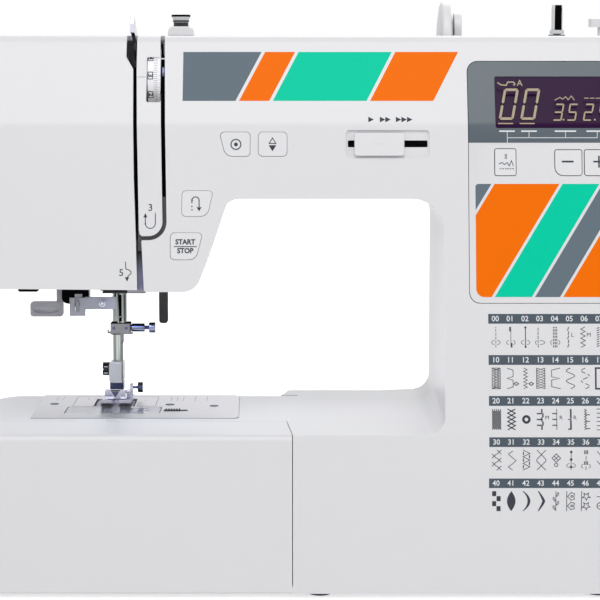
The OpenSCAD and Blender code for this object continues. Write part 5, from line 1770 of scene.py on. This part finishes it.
class SEWING_OT_needle_threader(bpy.types.Operator):
    """Needle threader: thumb tab, black slide, bracket and arm"""
    bl_idname = "sewing.needle_threader"
    bl_label = "Needle Threader"

    def execute(self, context):
        piece = moulding("needle_threader", 0.45, 3, "needle_threader", "knob_grey", "threader",
                         shape=self.thumb_hollow)
        repaint(piece, "light_grey", lambda c, n: -174 < c.x < -155.2 and 5 < c.y < 10 and 129 < c.z < 138.2)
        slide = slab("threader_slide", rounded([(-155.6, 138.4, 2.6), (-152.4, 136.4, 2.2), (-149.7, 139.5, 0.4),
                                                (-149.0, 135.4, 0.6), (-146.4, 135.4, 0.6), (-145.6, 139.6, 0.4),
                                                (-141.4, 140.4, 0.8), (-141.4, 147.5, 1), (-155.6, 147.5, 2.6)], 5),
                     "xz", 1.2, 10.6)
        complete(slide, "needle_threader", "black_plastic", "unlit", (0.5, 3, 45))
        self.rivet()
        return {"FINISHED"}

    def thumb_hollow(self, piece):
        clear_choice()
        bpy.ops.mesh.primitive_uv_sphere_add(segments=32, ring_count=16, radius=1, location=THUMB_MIDDLE)
        ball = bpy.context.object
        ball.scale = THUMB_SIZE
        settle(ball)
        cut(piece, ball)

    def rivet(self):
        head = turned("threader_rivet", [(0, 1.3), (0.7, 1.35), (0.9, 1.0), (1.2, 1.5), (1.7, 1.4), (1.85, 0.9),
                                         (1.85, 0.2), (0, 0.2)], "y", (-134.0, 0, 137.4), 28)
        head.matrix_world = Matrix.Translation((0, -0.0006, 0)) @ Matrix.Scale(-1, 4, (0, 1, 0))
        settle(head)
        face_outwards(head)
        complete(head, "needle_threader", "chrome", "chrome")


class SEWING_OT_presser_foot(bpy.types.Operator):
    """Foot, its holder, and the dark sleeve and guide on the needle bar"""
    bl_idname = "sewing.presser_foot"
    bl_label = "Presser Foot"

    def execute(self, context):
        foot = moulding("presser_foot", 0.25, 2, "presser", "chrome", "chrome")
        repaint(foot, "black", lambda c, n: c.x > -117.4 and c.z > 86)
        repaint(foot, "dark_steel", self.in_shade)
        holder = moulding("foot_holder", 0.9, 4, "presser", "chrome", "holder")
        repaint(holder, "dark_steel", lambda c, n: c.z < 92.2)
        self.foot_details()
        self.clamp_details()
        return {"FINISHED"}

    def in_shade(self, c, n):
        """Undersides of the toes, and the gap below the levelling button."""
        below_toe = c.y < -4 and n.y < -0.25 and n.z < 0.3 and (c.x < -132.6 or -123.4 > c.x > -125.3)
        return below_toe or (c.x > -120.1 and 88.2 < c.z < 90.4)

    def foot_details(self):
        # painted shade: a dark sheet in the V opening of the foot
        opening_shade = slab("foot_opening", rounded([(-129.7, 90.2, 0.3), (-127.6, 87.2, 0.3), (-125.5, 90.2, 0.3)], 3),
                     "xz", -1.5, -0.9)
        complete(opening_shade, "presser", "chrome", "dark_steel", (0.1, 2, 50))
        bridge = slab("foot_bridge", rounded([(-133.8, 86.2, 0.5), (-121.8, 86.2, 0.5), (-122.6, 90.8, 0.8),
                                              (-124.6, 91.2, 0.5), (-127.7, 88.2, 0.5), (-130.8, 91.2, 0.5),
                                              (-133.0, 90.8, 0.8)], 4), "xz", -0.9, 0.6)
        complete(bridge, "presser", "chrome", "chrome", (0.25, 2, 45))

    def clamp_details(self):
        for name, x0, x1, y in (("needle_bar_groove", -126.0, -124.4, 6.02),
                                ("needle_bar_groove_right", -123.2, -122.9, 6.5)):
            complete(block(name, x0, x1, y, 7.6, 126.9, 141.2), "needle_bar", "chrome", "unlit", (0.2, 2, 45))
        moulding("foot_holder_screw", 0.15, 2, "foot_holder_screw", "black_plastic", "black")
        for low in (97.0, 100.4):
            glint = block("foot_holder_screw_glint", -135.3, -133.3, SCREW_Y - 3.4, SCREW_Y - 2.9, low, low + 0.55)
            finish_piece(glint, "foot_holder_screw", "chrome", finishes()["pale_metal"])
        clamp = moulding("needle_clamp", 0.25, 2, "needle_bar", "chrome", "nickel")
        # painted shade: the upward faces at the top of the clamp are given unlit black
        repaint(clamp, "unlit", lambda c, n: n.z > 0.3 and c.z > 122)
        for x in (-128.5, -121.9):
            eye = slab("needle_clamp_eye", arc(x, 123.6, 0.85, 0, 337.5, 15), "xz", 3.7, 4.12)
            complete(eye, "needle_bar", "chrome", "dark_steel", (0.1, 2, 50))
        line = block("needle_clamp_line", -129.8, -125.0, 3.8, 4.1, 120.15, 120.6)
        finish_piece(line, "needle_bar", "chrome", finishes()["unlit"])
        clip_on = slab("needle_bar_clip", [(-123.4, 124.8)] + arc(-124.9, 128.4, 1.5, 0, 180, 10) +
                       [(-126.4, 124.8), (-125.8, 124.8)] + arc(-124.9, 128.4, 0.9, 180, -180, 10) +
                       [(-124.0, 124.8)], "xz", 5.2, 6.0)
        complete(clip_on, "needle_bar", "chrome", "bar")


class SEWING_OT_lamp(bpy.types.Operator):
    """Lamp window under the head, and the small parts beside it"""
    bl_idname = "sewing.lamp"
    bl_label = "Lamp"

    def execute(self, context):
        window = slab("lamp_window", rounded(box_outline(-126, -113, -30, -20, 1.6), 4), "xy", 146.3, 147.2)
        complete(window, "machine", "clear_plastic", "lamp", (0.2, 2, 45))
        buffer = slab("head_buffer", rounded(box_outline(-175.2, -164.8, 146.6, 153.4, 0.8), 3), "xz", -27, -21)
        complete(buffer, "machine", "black_plastic", "unlit", (0.3, 2, 45))
        shelf = slab("lamp_shelf", rounded([(-118, 147.2, 0.4), (-108.2, 147.2, 0.4), (-107.6, 148.6, 0.3),
                                            (-108.6, 149.2, 0.3), (-118, 149.2, 0.3)], 3), "xz", -36.6, -33)
        complete(shelf, "machine", "black_plastic", "threader", (0.2, 2, 45))
        return {"FINISHED"}


class SEWING_OT_needle_plate(bpy.types.Operator):
    """Needle plate with its screws, outlines and guide lines, and the drawing on the hook cover"""
    bl_idname = "sewing.needle_plate"
    bl_label = "Needle Plate"

    def execute(self, context):
        moulding("needle_plate", 0.22, 2, "machine", "steel", "plate")
        marks = Marks("bed")
        marks.loop("plate_ink", box_loop(-150.4, -106.4, -0.4, 30), 0.3)
        for x in (-99.2, -95.9, -92.6, -86.2, -79.8):
            marks.line("plate_ink", [(x, 16), (x, 30)], 0.22)
        for x in (-161, -157.8):
            marks.line("plate_ink", [(x, 18), (x, 30)], 0.2)
        for x, y in ((-144, 20), (-140.4, 20), (-113, 16)):
            marks.line("plate_ink", [(x, y), (x + 0.4, y + 4)], 0.24)
        marks.lay("plate_lines", "machine", "steel")
        for x, y in ((-160.9, 6.8), (-99, 4.6), (-75.3, 0.4)):
            self.screw(x, y)
        self.drawing()
        return {"FINISHED"}

    def screw(self, x, y):
        head = turned("plate_screw", [(0, PLATE_TOP - 0.7), (2.4, PLATE_TOP - 0.7), (2.4, PLATE_TOP - 0.1),
                                      (2.0, PLATE_TOP + 0.25), (0, PLATE_TOP + 0.35)], "z", (x, y, 0), 28)
        cut(head, block("slot", x - 3, x + 3, y - 0.4, y + 0.4, PLATE_TOP - 0.2, PLATE_TOP + 1))
        complete(head, "machine", "steel", "dark_steel")

    def drawing(self):
        marks = Marks("bed", -0.06)
        marks.disc("plate_ink", -120.6, -9.6, 3.1, 2.6)
        marks.disc("plate_ink", -120.6, -9.6, 1.5, 1.0)
        marks.line("plate_ink", [(-117.6, -8.8), (-114.4, -8.8), (-113.4, -11.4)], 0.5)
        marks.loop("plate_ink", box_loop(-114.8, -109.6, -13.4, -8.2), 0.45)
        marks.line("plate_ink", [(-124.8, -12.4), (-122.4, -14.4), (-118.6, -14.6)], 0.45)
        marks.lay("hook_cover_drawing", "hook_cover", "clear_plastic")


# ---- stage -------------------------------------------------------------------------------------
# name, place, diameter and power of each soft light
LIGHTS = (("key", (-0.15, -1.5, 2.2), 1.6, 20), ("left_fill", (-1.9, -0.9, 0.9), 1.2, 1.5),
          ("right_fill", (1.8, -1.2, 0.9), 1.2, 5), ("back_fill", (0.3, 1.9, 1.6), 1.4, 9))
LIT_POINT = (-0.02, 0, 0.14)
CAMERA_PLACE, CAMERA_TILT = (-0.0295, -1.156, 0.277), 83.2
LENS_LENGTH, SENSOR_WIDTH, NEAREST = 132, 36, 0.05
ROOM_LIGHT, SEEN_LIGHT = 0.55, 1.0
FLOOR_SIZE, FLOOR_GLOW = 12, (0.66, 0.66, 0.66, 1)


class SEWING_OT_stage(bpy.types.Operator):
    """Pale floor, soft studio light and the camera"""
    bl_idname = "sewing.stage"
    bl_label = "Stage"

    def execute(self, context):
        scene = context.scene
        clear_choice()
        bpy.ops.mesh.primitive_plane_add(size=FLOOR_SIZE, location=(0, 0, 0))
        floor = context.object
        floor.name = floor.data.name = "floor"
        floor.data.materials.append(self.floor_finish())
        for lamp in LIGHTS:
            self.light(*lamp)
        self.world(scene)
        bpy.ops.object.camera_add(location=CAMERA_PLACE, rotation=(math.radians(CAMERA_TILT), 0, 0))
        camera = context.object
        camera.data.lens = LENS_LENGTH
        camera.data.sensor_width = SENSOR_WIDTH
        camera.data.dof.use_dof = False
        camera.data.clip_start = NEAREST
        scene.camera = camera
        scene.view_settings.view_transform = "Standard"
        return {"FINISHED"}

    def floor_finish(self):
        """Pale board that the camera sees as white wherever no shadow falls on it."""
        made = Finish("pale_floor", (0.93, 0.93, 0.935), 0.7, Specular_IOR_Level=0.2, Emission_Strength=1.0)
        seen = made.ray("Camera") + made.ray("Glossy") + made.ray("Transmission")
        made.set("Emission Color", made.blend(seen, BLACK, FLOOR_GLOW))
        return made.surface(height=made.noise(40.0), distance=0.00005, strength=0.2)

    def light(self, name, place, size, power):
        bpy.ops.object.light_add(type="AREA", location=place)
        lamp = bpy.context.object
        lamp.name = name
        lamp.data.shape = "DISK"
        lamp.data.size = size
        lamp.data.energy = power
        aim = Vector(LIT_POINT) - Vector(place)
        lamp.rotation_euler = aim.to_track_quat("-Z", "Y").to_euler()

    def world(self, scene):
        """White behind the machine and in its reflections, dimmer as the light of the room."""
        world = bpy.data.worlds.new("studio")
        world.use_nodes = True
        scene.world = world
        sky = Nodes(world.node_tree, "BACKGROUND")
        seen = sky.ray("Camera").most(sky.ray("Transmission")).most(sky.ray("Glossy"))
        sky.set("Color", WHITE)
        sky.set("Strength", sky.node("MapRange", {}, {"Value": seen, "To Min": ROOM_LIGHT, "To Max": SEEN_LIGHT}))


STEPS = (SEWING_OT_stage, SEWING_OT_covers, SEWING_OT_inner_works, SEWING_OT_mouldings, SEWING_OT_stitch_chart,
         SEWING_OT_colour_blocks, SEWING_OT_control_panel, SEWING_OT_display_figures, SEWING_OT_panel_art,
         SEWING_OT_front_symbols, SEWING_OT_threading_path, SEWING_OT_winder_spindle, SEWING_OT_tension_scale,
         SEWING_OT_needle_threader, SEWING_OT_presser_foot, SEWING_OT_lamp, SEWING_OT_needle_plate)


# ---- panel and running ---------------------------------------------------------------------------
class SEWING_PT_machine(bpy.types.Panel):
    """Sizes, colours and the steps that build the machine"""
    bl_label = "Sewing Machine"
    bl_idname = "SEWING_PT_machine"
    bl_space_type = "VIEW_3D"
    bl_region_type = "UI"
    bl_category = "Sewing Machine"

    def draw(self, context):
        layout = self.layout
        for step in STEPS:
            layout.operator(step.bl_idname, text=step.bl_label)
        for group in (context.scene.machine_sizes, context.scene.machine_colours):
            for name in group.__annotations__:
                layout.prop(group, name)


CLASSES = (MachineSizes, MachineColours, *STEPS, SEWING_PT_machine)


def register():
    for made in CLASSES:
        bpy.utils.register_class(made)
    bpy.types.Scene.machine_sizes = PointerProperty(type=MachineSizes)
    bpy.types.Scene.machine_colours = PointerProperty(type=MachineColours)


def unregister():
    del bpy.types.Scene.machine_colours
    del bpy.types.Scene.machine_sizes
    for made in reversed(CLASSES):
        bpy.utils.unregister_class(made)


def main():
    register()
    clear_choice()
    for step in STEPS:
        group, name = step.bl_idname.split(".")
        getattr(getattr(bpy.ops, group), name)()


if __name__ == "__main__":
    main()
